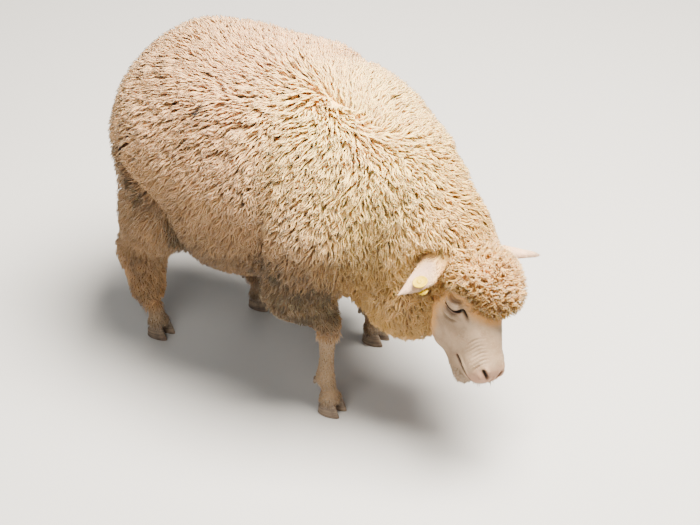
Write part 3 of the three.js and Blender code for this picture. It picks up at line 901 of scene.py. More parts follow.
@dataclass(frozen=True)
class Markings:
    """The coat's colours by place, the same on skin and wool: golden on neck and head, creamy over the withers, and
    browner low down, partly from dirt and partly as painted shade, with painted shade in the folds. Each is a share
    from 0 to 1; the soil-and-shade share goes on to 2 where a fleck of dirt lies in the wool."""

    body: Body
    flecks: tuple = (  # places under the skin's surface and how far the dirt reaches
        (-40, -104, 692, 8), (-68, -148, 660, 10), (-250, -192, 551, 9), (-230, -186, 592, 7),
    )
    crown: tuple = (30, 0, -60)  # on the head, the middle of its golden wool
    throat: tuple = (60, 0, -60)  # on the head, the middle of the wool that stays clean
    nape: tuple = (350, -70, 550)  # middles of what is golden on the neck,
    crest: tuple = (385, -60, 560)  # and creamy there,
    withers: tuple = (225, -70, 700)  # of the creamy wool over the shoulders,
    stain: tuple = (210, -190, 400)  # and of the browner wool on the right shoulder

    def golden(self, p: Array) -> Array:
        """Neck, cheeks and topknot."""
        near = ease(330, 150, away(p, self.body.on_head(*self.crown)))
        patch = 0.5 + 0.5 * lattice_noise(p, 60, 3)
        nape = ease(220, 50, away(p, self.nape))
        return np.clip(near * (0.6 + 0.5 * patch) + nape, 0, 1)

    def cream(self, p: Array) -> Array:
        """Withers, nape and the front of the back, in patches."""
        far = np.linalg.norm((p - np.array(self.withers)) * np.array([1, 1, 0.8]), axis=1)
        crest = ease(200, 60, away(p, self.crest))
        patch = 0.5 + 0.5 * lattice_noise(p, 75, 5)
        return np.clip(ease(270, 60, far) * (0.6 + 0.6 * patch) + 0.15 * crest, 0, 1)

    def soil(self, p: Array) -> Array:
        """Darker low down, partly from dirt and partly as painted shade; painted shade in the folds; dirt at the rear
        and in flecks on the back; the rump darker toward the tail.

        Args:
            p: Points.
        Returns:
            A share for each.
        """
        head = ease(270, 150, away(p, self.body.on_head(*self.throat)))
        # dirt and painted shade: darker low down, where the belly and lower flanks lie in shadow and the wool is
        # dirtiest
        low = ease(600, 310, p[:, 2]) * (0.62 + 0.38 * ease(-200, -110, p[:, 0])) * (1 - 0.75 * head)
        stain = 0.22 * ease(170, 20, away(p, self.stain))
        # darker over the rump toward the tail, and a little more higher up
        rump_darkening = (0.1 + 0.2 * ease(600, 700, p[:, 2])) * ease(-20, -220, p[:, 0])
        patch = 0.5 + 0.5 * lattice_noise(p, 45, 9)
        rear = ease(-330, -400, p[:, 0]) * ease(600, 420, p[:, 2]) * 0.5
        # painted shade in the folds in front of the thigh and behind the shoulder
        fold = sum(fold.sunk(p) for fold in FOLDS) / 24
        made = low * (0.75 + 0.5 * patch) + rear * patch + 0.6 * fold + (rump_darkening + stain) * (0.5 + patch)
        made = np.clip(made, 0, 1)
        for x, y, z, radius in self.flecks:
            made += 2 * (away(p, (x, y, z)) < radius * (1 + 0.5 * lattice_noise(p, 5, 13)))
        return np.minimum(made, 2)

    def values(self, p: Array) -> Array:
        """All three, one a column."""
        return np.stack([self.golden(p), self.cream(p), self.soil(p)], 1)


# ---- ears
@dataclass(frozen=True)
class Ear:
    """A pointed leaf from root to tip, hollow on one side."""

    body: Body
    side: str
    roots: dict = field(default_factory=lambda: {"left": (20, 61, 19), "right": (-5, 58, 44)})
    tips: dict = field(default_factory=lambda: {"left": (35, 180.5, 15.7), "right": (63, 163, -18)})
    opens: dict = field(default_factory=lambda: {"left": (0.91, 0, -0.2), "right": (0.18, -0.52, -0.84)})
    cups: dict = field(default_factory=lambda: {"left": 1.45, "right": 1.0})
    half: float = 29
    thick: float = 2.6
    rim: float = 112  # degrees round the cup, from the middle of its back to each edge
    stations: int = 60  # sections of the leaf,
    sides: int = 40  # and points on each
    leaf: tuple = (  # along the ear, half width, half depth, lean toward its front edge
        (-0.3, 0.5, 0.46, 0), (0.0, 0.62, 0.46, 0), (0.2, 0.74, 0.44, -0.02), (0.4, 0.81, 0.38, 0.06),
        (0.52, 0.83, 0.31, 0.18), (0.64, 0.68, 0.26, 0.2), (0.76, 0.52, 0.22, 0.17), (0.87, 0.3, 0.17, 0.1),
        (0.95, 0.14, 0.11, 0.03), (1.0, 0.05, 0.06, 0),
    )

    def _on(self, place: tuple) -> Array:
        """A place or direction on the head, mirrored to this side."""
        return np.array([place[0], SIDES[self.side] * place[1], place[2]], float)

    @property
    def root(self) -> Array:
        """Middle of the ear's root."""
        return self.body.from_head(self._on(self.roots[self.side])[None])[0]

    @property
    def axis(self) -> Array:
        """From root to tip."""
        return self.body.from_head(self._on(self.tips[self.side])[None])[0] - self.root

    @property
    def open(self) -> Array:
        """The way that the hollow faces."""
        way = self.body.turn @ self._on(self.opens[self.side])
        return unit(way - self.axis * (way @ self.axis) / (self.axis @ self.axis))

    @property
    def across(self) -> Array:
        """Along the ear's width."""
        return np.cross(unit(self.axis), self.open) * -SIDES[self.side]

    def clearing(self) -> Field:
        """Where the wool stands clear of the leaf."""
        start, end = (self.root + self.axis * t - 6 * self.open for t in (0.45, 1.15))
        return capsule(start, end, 26, 27)

    def shell(self) -> Shell:
        """The leaf: at each station an arc of an ellipse, from one edge round the back to the other, and the same
        arc set inward by the leaf's thickness. The edges waver a little and two low ribs run along the back."""
        t, wide, deep, lean = curve_through(self.leaf, self.stations).T
        waver = 1 + 0.035 * np.sin(9 * t + 1) * ease(0.2, 0.5, t)
        wide = np.maximum(wide, 0.04) * self.half * waver
        deep = np.maximum(deep, 0.05) * self.half * self.cups[self.side]
        thin = np.minimum(self.thick, 0.6 * np.minimum(wide, deep))
        turn = math.radians(self.rim) * np.linspace(-1, 1, self.sides // 2)
        ribs = 1 + 0.03 * np.cos(turn * 5)[None] * ease(1, 0.6, t)[:, None]

        def arc(wide: Array, deep: Array, turn: Array, ribs: Array) -> Array:
            """One arc at each station: across the ear, and the way that it opens."""
            return np.stack([wide[:, None] * np.sin(turn) * ribs, -deep[:, None] * np.cos(turn) * ribs], -1)

        section = np.concatenate([arc(wide, deep, turn, ribs), arc(wide - thin, deep - thin, turn[::-1], ribs)], 1)
        middle = self.root + t[:, None] * self.axis + (lean * self.half)[:, None] * self.across
        points = middle[:, None] + section[..., :1] * self.across + section[..., 1:] * self.open
        made = swept(points)
        if np.linalg.det(np.stack([self.across, self.open, unit(self.axis)])) < 0:
            made.triangles = made.triangles[:, ::-1]
        return made


# ---- skin
@dataclass
class Skin:
    """The animal's one skin, inside the fleece by the coat's depth, with the bare face, ears and lower legs."""

    body: Body
    markings: Markings
    cell: float = 10  # of the first net
    hidden_size: float = 14.0  # edge lengths: under the wool,
    face_size: float = 2.3  # on the face and so on
    lid_size: float = 1.1
    mouth_size: float = 1.5
    leg_size: float = 5.5
    hair: float = 1.0  # thickness of the short hair that lies over bare skin
    leg_inset: float = 0.4  # how much thinner the lower legs are than with their hair
    lump: float = 4.0  # how far the fleece rises and sinks in soft lumps
    lump_size: float = 75
    ear_pink: float = 0.45
    relief_reach: float = 170  # from the middle of the face, how far its relief goes
    hem: tuple = (-2, 19)  # from the wool's outline, where its colour fades into the short hair's

    def __post_init__(self) -> None:
        """Builds the fields."""
        body = self.body
        self.ears = {side: Ear(body, side) for side in SIDES}
        plump = body.fleece([ear.clearing() for ear in self.ears.values()])
        lumps = lambda p: self.lump * lattice_noise(p, self.lump_size, 31) * ease(330, 420, p[:, 2])
        self.fleece = lambda p: plump(p) + sum(fold.sunk(p) for fold in FOLDS) + lumps(p)
        face = grown(body.face(), -self.hair)
        lids = [ellipsoid(body.eye_centre(s), (body.eye_radius + 2.2,) * 3) for s in SIDES.values()]
        legs = [body.lower_leg(kind, side, -self.leg_inset) for kind, side in body.feet]
        tail = grown(body.tail(), -body.coat_tail)
        core = blend(14, lambda p: self.fleece(p) + self.coat_depth(p), tail, *legs)
        self.bare = blend(6, face, *lids)
        self.form = blend(10, core, self.bare)
        self.relief = Relief(self.laid)

    def laid(self, q: Array) -> Array:
        """Points on the head, in its own coordinates, brought onto the bare face."""
        return self.body.to_head(onto(self.bare, self.body.from_head(q), steps=4))

    def coat_depth(self, p: Array) -> Array:
        """Depth of the wool: deepest on the trunk, less towards the legs and on the head.

        Args:
            p: Points.
        Returns:
            A depth for each.
        """
        body = self.body
        depth = body.coat_body - (body.coat_body - body.coat_low) * ease(330, 215, p[:, 2])
        head = ease(210, 150, away(p, body.on_head(70, 0, -20)))
        return depth + (body.coat_head - depth) * head

    def size_at(self, p: Array) -> Array:
        """The edge length wanted: finest at the lids, nostrils and mouth, fine on the face and lower legs.

        Args:
            p: Points on the skin.
        Returns:
            A length for each.
        """
        q = self.body.to_head(p)
        bare = sampled(self.fleece, p) > -5
        size = np.full(len(p), self.hidden_size)
        near = away(q, FACE_MIDDLE) < 160
        size = np.where(bare & (p[:, 2] < 300) & ~near, self.leg_size, size)
        size = np.where(bare & near, self.face_size, size)
        for f, l, u, reach in ((106, 61, 15, 27), (240, 24, 12, 17)):  # lids, nostrils
            close = np.minimum(away(q, (f, l, u)), away(q, (f, -l, u))) < reach
            size = np.where(close, self.lid_size, size)
        mouth = (np.abs(q[:, 2] + 29) < 11) & (q[:, 0] > 180) & near
        return np.where(mouth, np.minimum(size, self.mouth_size), size)

    def shell(self) -> Shell:
        """Skins the form, refines it where the face needs it, then sinks the folds and openings."""
        settle = lambda p: onto(self.form, p, steps=2)
        low = np.array([self.body.rump_x - 40, -275.0, 14.0])
        high = np.array([590.0, 275.0, self.body.back + 14])
        made = surface_nets(self.form, low, high, self.cell)
        made.points = onto(self.form, made.points)
        log.info("skin: %d triangles before refining", len(made.triangles))
        made = refined(made, self.size_at, settle, 4)
        made = relaxed(made, settle, 2)
        log.info("skin: %d triangles", len(made.triangles))
        q = self.body.to_head(made.points)
        head = away(q, FACE_MIDDLE) < self.relief_reach
        sunk = np.zeros(len(q))
        sunk[head] = self.relief.sunk(q[head])
        self.plain = made
        self.leaves = {}
        made = Shell(made.points - normals_of(made) * sunk[:, None], made.triangles)
        self.note(made, q)
        self.sculpted = made
        for side, ear in self.ears.items():
            leaf = ear.shell()
            nowhere = np.full((len(leaf.points), 3), 999.0)  # an ear has no folds of the face
            self.note(leaf, nowhere)
            leaf.values["bare"][:, 2] = self.ear_pink
            leaf.values["marks"][:, 1] = 1  # read as paler hair
            self.leaves[side] = leaf
            made = made.joined(leaf)
        return made

    def note(self, made: Shell, q: Array) -> None:
        """Adds the values that the finishes read: bare, painted shade and pink shares, and the coat's markings.

        Args:
            made: The mesh.
            q: Its points on the head, where the painted shade and pink are looked up.
        """
        bare = ease(*self.hem, sampled(self.fleece, made.points))
        head = away(q, FACE_MIDDLE) < self.relief_reach
        dark, pink = np.zeros(len(q)), np.zeros(len(q))
        dark[head], pink[head] = self.relief.dark(q[head]), self.relief.pink(q[head])
        made.values["bare"] = np.stack([bare, dark, pink], 1)
        made.values["marks"] = self.markings.values(made.points)


# ---- coat
@dataclass(frozen=True)
class LockStyle:
    """How one sort of lock grows. Lengths are in millimetres."""

    length: float  # run along the body
    width: float
    thick: float  # of the lock, as a share of its width
    wave: float  # how far it swings to each side
    waves: float  # swings along its length
    rise: float  # how soon it lies down: above 1 it stands longer
    tip: float  # how deep its tip lies in the coat
    stray: float  # how far its way differs from its neighbours'
    curl: float  # degrees that it turns along the skin from root to tip
    pull: float  # how much of the way its tip goes to its staple's tip
    staple: float  # about how far apart staples are
    spacing: float  # about how far apart locks are


STYLES = {
    Zone.TRUNK: LockStyle(42, 6.0, 0.24, 2.3, 1.9, 1.15, 1.2, 0.17, 16, 0.42, 9, 6.2),
    Zone.NECK: LockStyle(36, 5.4, 0.25, 2.2, 1.9, 1.15, 1.2, 0.24, 30, 0.42, 8, 5.4),
    Zone.HEAD: LockStyle(14, 3.8, 0.32, 1.2, 1.1, 1.0, 0.8, 0.8, 200, 0.35, 6.0, 3.8),
    Zone.LEG: LockStyle(26, 4.9, 0.34, 1.8, 1.7, 1.3, 1.0, 0.3, 30, 0.45, 8.5, 5.5),
    Zone.TAIL: LockStyle(26, 5.2, 0.34, 1.8, 1.6, 1.3, 1.0, 0.25, 20, 0.45, 9, 5.4),
}
STYLE_NAMES = tuple(LockStyle.__dataclass_fields__)


@dataclass
class Roots:
    """Where locks grow: their places on the skin, the way out, the way that they lie, and their sizes."""

    at: Array
    out: Array
    lie: Array
    size: dict[str, Array]
    zone: Array
    marks: Array

    def only(self, kept: Array) -> "Roots":
        """Those roots that are kept."""
        size = {name: v[kept] for name, v in self.size.items()}
        return Roots(self.at[kept], self.out[kept], self.lie[kept], size, self.zone[kept], self.marks[kept])

    def __len__(self) -> int:
        """How many."""
        return len(self.at)


def scattered(shell: Shell, spacing: float, random: np.random.Generator) -> tuple[Array, Array]:
    """Even random places on a skin: many random ones by area, of which one stays in each small cell.

    Args:
        shell: The skin.
        spacing: The cell's size.
        random: The numbers drawn from.
    Returns:
        The places and the way out at each.
    """
    corner = shell.points[shell.triangles]
    area = np.linalg.norm(shell.faces(), axis=1) / 2
    count = int(area.sum() / spacing**2 * 3)
    tri = random.choice(len(area), count, p=area / area.sum())
    r1, r2 = np.sqrt(random.random(count)), random.random(count)
    w = np.stack([1 - r1, r1 * (1 - r2), r1 * r2], 1)
    at = (corner[tri] * w[..., None]).sum(1)
    out = unit((normals_of(shell)[shell.triangles[tri]] * w[..., None]).sum(1))
    cell = np.floor(at / spacing).astype(np.int64) + 4096
    key = (cell[:, 0] * 8192 + cell[:, 1]) * 8192 + cell[:, 2]
    _, first = np.unique(key, return_index=True)
    return at[first], out[first]


def flat(lie: Array, out: Array) -> Array:
    """A direction with what points out of the skin taken away."""
    return unit(lie - out * (lie * out).sum(-1, keepdims=True))


def tube_topology(bands: int) -> Array:
    """Triangles of one closed three-sided lock: base cap, bands and point.

    Args:
        bands: How many stretches it has.
    Returns:
        The triangles.
    """
    tris = [(0, 2, 1)]
    for r in range(bands - 1):
        for s in range(3):
            a, b = 3 * r + s, 3 * r + (s + 1) % 3
            tris += [(a, b, b + 3), (a, b + 3, a + 3)]
    last = 3 * (bands - 1)
    tris += [(last + s, last + (s + 1) % 3, 3 * bands) for s in range(3)]
    return np.array(tris)


def tubes(line: Array, out: Array, width: Array, thick: Array, chance: Array) -> Shell:
    """Closed three-sided locks round middle lines: each ring has a ridge and two edges, and the last point is the
    tip. A ring's width is width * (0.6 + 0.4 sin(pi (0.15 + 0.8 t))) * (1 - t^2.4)^0.75.

    Args:
        line: Middle lines: locks by rings and tip by three.
        out: The way out of the coat at each point of the lines.
        width: Each lock's width.
        thick: Each lock's thickness, as a share of its width.
        chance: A random share for each lock.
    Returns:
        The locks, with their strand values and without marks or map.
    """
    count, bands = len(line), line.shape[1] - 1
    t = np.linspace(0, 1, bands + 1)
    run = unit(np.gradient(line, axis=1))
    out = unit(out - run * (out * run).sum(2, keepdims=True))
    side = np.cross(run, out)
    profile = (0.6 + 0.4 * np.sin(math.pi * (0.15 + 0.8 * t))) * (1 - t**2.4) ** 0.75
    above = 0.62  # share of a lock's thickness that lies above its middle line
    wide = width[:, None] * profile
    deep = wide * thick[:, None]
    under = line - out * ((1 - above) * deep)[..., None]
    ridge = line + out * (above * deep)[..., None]
    edge = side * (wide / 2)[..., None]
    rings = np.stack([ridge, under + edge, under - edge], 2)[:, :bands]
    points = np.concatenate([rings.reshape(count, -1, 3), line[:, -1:]], 1)
    per = 3 * bands + 1
    tris = (tube_topology(bands)[None] + per * np.arange(count)[:, None, None]).reshape(-1, 3)
    strand = np.empty((count, per, 3))
    strand[..., 0] = np.append(np.tile([0.0, 1.0, -1.0], bands), 0.0)
    strand[..., 1] = np.append(np.repeat(t[:bands], 3), 1.0)
    strand[..., 2] = chance[:, None]
    return Shell(points.reshape(-1, 3), tris, {"strand": strand.reshape(-1, 3)})


def mapped(made: Shell, body: "Body", at: Array) -> Shell:
    """Adds the OFBake map.

    Args:
        made: The locks.
        body: The ewe.
        at: Their roots, where each lock's patch lies on the unwrap.
    Returns:
        The same locks.
    """
    per = len(made.points) // len(at)
    across, along, _ = made.values["strand"][:per].T
    patch = np.stack([0.5 + 0.5 * across, along], 1) * PATCH
    made.uv = (unwrapped(body, at)[:, None] + patch[None]).reshape(-1, 2)
    return made


@dataclass
class Coat:
    """The wool: closed three-sided locks that rise from the skin, lie over along the body and end at its outline,
    gathered into staples."""

    body: Body
    skin: Skin
    markings: Markings
    parting: tuple = ((120, -40, 715), (255, -66, 690))  # along the back, where its wool parts
    swirl: tuple = (10, 110)  # from the parting, where its swirl gives way to the plain lie
    calm: tuple = (20, 130)  # from the parting, where locks become as long and straight as elsewhere
    hang: tuple = (-0.2, 0, -0.75)  # how the trunk's wool lies back and down
    proud: tuple = (0.1, 3.2)  # which share of the tips stands out, and how far
    mingle: float = 34  # how wide the patches are in which staples stray alike
    fade: float = 14  # over which one zone's style gives way to the next
    bands: int = 6  # stretches of a lock
    seed: int = 11

    def __post_init__(self) -> None:
        """The outer form that locks lie under, and the fields of each zone, kept on grids."""
        body = self.body
        low, high = np.array([-460.0, -280, 60]), np.array([600.0, 280, 755])
        limbs = [f for side in SIDES for f in (body.haunch(side), body.shoulder(side))]
        whole = blend(8, self.skin.fleece, body.tail(), grown(self.skin.bare, 2.5))
        coarse = Lattice(whole, low, high, 8)
        middle, reach = body.on_head(50, 0, -10), 190
        fine = Lattice(whole, middle - reach, middle + reach, 4.5)

        def outer(p: Array) -> Array:
            """The outline, read from the finer grid round the head."""
            value = coarse(p)
            near = np.abs(p - middle).max(1) < reach - 5
            value[near] = fine(p[near])
            return value

        self.outer = outer
        zones = (
            blend(34, *body.trunk()),
            blend(34, *body.neck()),
            blend(34, *body.head_wool()),
            lambda p: np.minimum.reduce([f(p) for f in limbs]) + 60 * ease(240, 330, p[:, 2]),
            body.tail(),
        )
        self.zones = [Lattice(zone, low, high, 14) for zone in zones]
        self.wool = lambda p: np.minimum(self.skin.fleece(p), body.tail()(p))
        self.random = np.random.default_rng(self.seed)

    def shares(self, p: Array) -> Array:
        """How much each zone counts at points: exp(-distance / fade), brought to a sum of one."""
        far = np.stack([zone(p) for zone in self.zones], 1)
        weight = np.exp(-(far - far.min(1, keepdims=True)) / self.fade)
        return weight / weight.sum(1, keepdims=True)

    def from_parting(self, p: Array) -> Array:
        """The way to points from the nearest place on the parting."""
        a, b = np.array(self.parting, float)
        t = np.clip((p - a) @ (b - a) / ((b - a) @ (b - a)), 0, 1)
        return p - a - t[:, None] * (b - a)

    def way(self, p: Array, out: Array, share: Array) -> Array:
        """The lie of the coat: away from the parting on trunk and neck, with a swirl close to it, down on the legs,
        and on the head forward over the crown and down the cheeks; then flattened onto the skin.

        Args:
            p: Places on the skin.
            out: The way out at each.
            share: How much each zone counts at each.
        Returns:
            A unit vector for each.
        """
        off = self.from_parting(p)
        far = ease(*self.swirl, np.linalg.norm(off, axis=1))[:, None]
        from_whorl = unit(off) * (0.25 + 0.75 * far) + 0.6 * np.cross(out, unit(off)) * (1 - far)
        q = self.body.to_head(p)
        trunk = 0.9 * from_whorl + np.array(self.hang) * far
        neck = from_whorl + np.array([0.1, 0, -0.45])
        f = self.body.turn.T[0]
        crown = ease(-20, 50, q[:, 2])[:, None]
        head = crown * f + (1 - crown) * (np.array([-0.1, 0, -0.9]) + 0.35 * f)
        leg = np.array([-0.12, 0, -1.0])
        ways = (trunk, neck, head, np.broadcast_to(leg, p.shape), np.broadcast_to(leg, p.shape))
        return flat(sum(share[:, k : k + 1] * unit(w) for k, w in enumerate(ways)), out)

    def roots(self, spacing: str) -> Roots:
        """Roots of all the wool, denser and finer on the head.

        Args:
            spacing: Which of the style's distances they keep: spacing for locks, staple for their guides.
        Returns:
            The roots.
        """
        found = []
        for zone in Zone:
            at, out = scattered(self.skin.plain, getattr(STYLES[zone], spacing), self.random)
            mine = self.shares(at).argmax(1) == zone.value
            at, out = at[mine], out[mine]
            under = sampled(self.wool, at) < -1.5
            log.info("wool %s, %s: %d", spacing, zone.name.lower(), under.sum())
            found.append((at[under], out[under], np.full(under.sum(), zone.value)))
        at, out, zone = (np.concatenate(part) for part in zip(*found))
        share = self.shares(at)
        table = np.array([[getattr(STYLES[z], name) for name in STYLE_NAMES] for z in Zone])
        size = dict(zip(STYLE_NAMES, (share @ table).T))
        return Roots(at, out, self.way(at, out, share), size, zone, self.markings.values(at))

    def paths(self, roots: Roots, lie: Array, length: Array, end: Array, curl: Array) -> tuple[Array, Array]:
        """Middle lines before their waves.

        A line starts at its root and runs length / bands along the lie at each step, the lie turning by
        curl / bands, while its depth under the outline falls from the root's to the tip's by (1 - t)^rise.

        Args:
            roots: The roots.
            lie: Which way each line sets off.
            length: Each line's length.
            end: The outline's level at each tip.
            curl: How far each line turns, in radians.
        Returns:
            The lines and the way out at their points.
        """
        p, start = roots.at, self.outer(roots.at)
        lines, outs = [p], []
        cos, sin = np.cos(curl / self.bands)[:, None], np.sin(curl / self.bands)[:, None]
        for k in range(1, self.bands + 1):
            t = k / self.bands
            level = end + (start - end) * (1 - t) ** roots.size["rise"]
            g = unit(slope_of(self.outer, p, 3.0))
            lie = flat(lie * cos + np.cross(g, lie) * sin, g)
            p = p + lie * (length / self.bands)[:, None]
            p = p - g * (self.outer(p) - level).clip(-12, 12)[:, None]
            lines.append(p)
            outs.append(g)
        return np.stack(lines, 1), np.stack([outs[0], *outs], 1)

    def gather(self) -> None:
        """Grows the guide line of each staple, with its own stray way, length, height, curl and waves."""
        guides = self.roots("staple")
        draw = self.random.normal(size=(len(guides), 8)).clip(-2, 2)
        broad = np.stack([lattice_noise(guides.at, self.mingle, seed) for seed in (21, 22, 23)], 1)
        size = guides.size
        parted = 1 - ease(*self.calm, np.linalg.norm(self.from_parting(guides.at), axis=1))
        stray = size["stray"] * (1 + 0.9 * parted)
        self.guide_lie = flat(guides.lie + stray[:, None] * (0.8 * broad + 0.4 * draw[:, :3]), guides.out)
        self.guide_length = (1 + 0.2 * draw[:, 3] + 0.2 * broad[:, 0]) * (1 - 0.2 * parted)
        self.guide_end = -size["tip"] + 0.6 * draw[:, 4]
        self.guide_curl = np.radians(size["curl"]) * (draw[:, 5] + np.sign(draw[:, 5]) * (size["curl"] > 90) * 0.4)
        self.guide_phase = math.pi * draw[:, 6]
        self.guide_tone = 0.5 + 0.2 * draw[:, 7]
        length = size["length"] * self.guide_length
        self.guide_at = guides.at
        self.guide_line, _ = self.paths(guides, self.guide_lie, length, self.guide_end, self.guide_curl)
        self.tree = KDTree(len(guides))
        for k, at in enumerate(guides.at):
            self.tree.insert(at, k)
        self.tree.balance()

    def grow(self, roots: Roots) -> Shell:
        """Grows closed locks.

        Each lock runs beside its staple's guide line and closes in on it by pull * t^1.2. It swings to the side and
        up and down by wave * sin(2 pi waves t + phase), as one with its staple. Near the edge of the wool locks are
        shorter and thinner.

        Args:
            roots: Where they grow.
        Returns:
            The locks as one mesh, with marks and map.
        """
        count, s = len(roots), roots.size
        draw = self.random.normal(size=(count, 6)).clip(-2, 2)
        which = np.array([self.tree.find(at)[1] for at in roots.at])
        edge = 0.42 + 0.58 * ease(1, 12, -sampled(self.wool, roots.at))
        apart = np.linalg.norm(roots.at - self.guide_at[which], axis=1) / (s["staple"] / 2)
        lie = flat(0.35 * roots.lie + self.guide_lie[which] + 0.16 * draw[:, :3], roots.out)
        length = s["length"] * edge * np.clip(self.guide_length[which] + 0.14 * draw[:, 3], 0.45, 1.6)
        end = np.minimum(self.guide_end[which] - np.minimum(apart, 1.6) ** 2 * 0.6 - 0.4 * np.abs(draw[:, 5]), 0.9)
        end += self.proud[1] * (self.random.random(count) < self.proud[0]) * edge
        line, out = self.paths(roots, lie, length, end, self.guide_curl[which])
        t = np.linspace(0, 1, self.bands + 1)
        pull = (s["pull"] * ease(0.5, 0.9, edge))[:, None] * t**1.2
        line += pull[..., None] * (self.guide_line[which] - line)
        swing = 2 * math.pi * s["waves"][:, None] * t + (self.guide_phase[which] + 0.3 * draw[:, 0])[:, None]
        reach = (s["wave"] * edge)[:, None] * np.minimum(1, 1.8 * t)
        side = np.cross(out, unit(np.gradient(line, axis=1)))
        line += side * (reach * np.sin(swing))[..., None] + out * (0.5 * reach * np.cos(swing))[..., None]
        width = s["width"] * (0.35 + 0.65 * edge) * np.clip(1 + 0.18 * draw[:, 4], 0.6, 1.5)
        chance = (0.72 * self.guide_tone[which] + 0.28 * self.random.random(count)).clip(0, 1)
        made = tubes(line, out, width, s["thick"], chance)
        made.values["marks"] = np.repeat(roots.marks, len(made.points) // count, axis=0)
        return mapped(made, self.body, roots.at)


def unwrapped(body: Body, p: Array) -> Array:
    """Places on an unwrap of the skin's own shape: round and along the nearest of the body's axes, and then spread
    over the map from the lowest to the highest.

    Args:
        body: The ewe.
        p: Points on the skin, of one piece of coat.
    Returns:
        A place from 0 to 1 each way for each point.
    """
    low = p[:, 2] < 300
    x = p[:, 0] / 1000
    angle = np.arctan2(p[:, 1], p[:, 2] - body.mid_z) / (2 * math.pi)
    made = np.stack([x, angle], 1)
    if low.mean() > 0.7:
        feet = np.array(list(body.feet.values()), float)
        nearest = np.linalg.norm(p[:, None, :2] - feet[None], axis=2).argmin(1)
        centre = feet[nearest]
        turn = np.arctan2(p[:, 1] - centre[:, 1], p[:, 0] - centre[:, 0]) / (2 * math.pi) + 0.5
        made = np.stack([nearest + 0.9 * turn, p[:, 2] / 300], 1)
    elif np.linalg.norm(p - body.on_head(60, 0, -20), axis=1).mean() < 180:
        q = body.to_head(p) - np.array([0, 0, -20])
        made = np.stack([q[:, 0], np.arctan2(q[:, 1], q[:, 2]) * 60], 1)
    low_uv, high_uv = made.min(0), made.max(0)
    return 0.002 + (made - low_uv) / np.maximum(high_uv - low_uv, 1e-6) * (0.996 - PATCH)


# ---- shaders
class Maths:
    """A value in a shader; expressions on it add Math nodes."""

    def __init__(self, shader: "Shader", socket: Socket) -> None:
        """Wraps one output socket."""
        self.shader, self.socket = shader, socket

    def _with(self, operation: str, *values: "Maths | float") -> "Maths":
        """Adds one Math node."""
        node = self.shader.node("ShaderNodeMath", {"operation": operation}, dict(enumerate(values)))
        return Maths(self.shader, node.outputs[0])

    def __add__(self, other: "Maths | float") -> "Maths":
        """Sum."""
        return self._with("ADD", self, other)

    __radd__ = __add__

    def __mul__(self, other: "Maths | float") -> "Maths":
        """Product."""
        return self._with("MULTIPLY", self, other)

    __rmul__ = __mul__

    def __sub__(self, other: "Maths | float") -> "Maths":
        """Difference."""
        return self._with("SUBTRACT", self, other)

    def __rsub__(self, other: float) -> "Maths":
        """Difference from a number."""
        return self._with("SUBTRACT", other, self)

    def sine(self) -> "Maths":
        """Its sine."""
        return self._with("SINE", self)

    def step(self, low: float, high: float) -> "Maths":
        """A smooth step from low to high."""
        settings = {"interpolation_type": "SMOOTHSTEP"}
        node = self.shader.node("ShaderNodeMapRange", settings, {0: self, 1: low, 2: high})
        return Maths(self.shader, node.outputs[0])


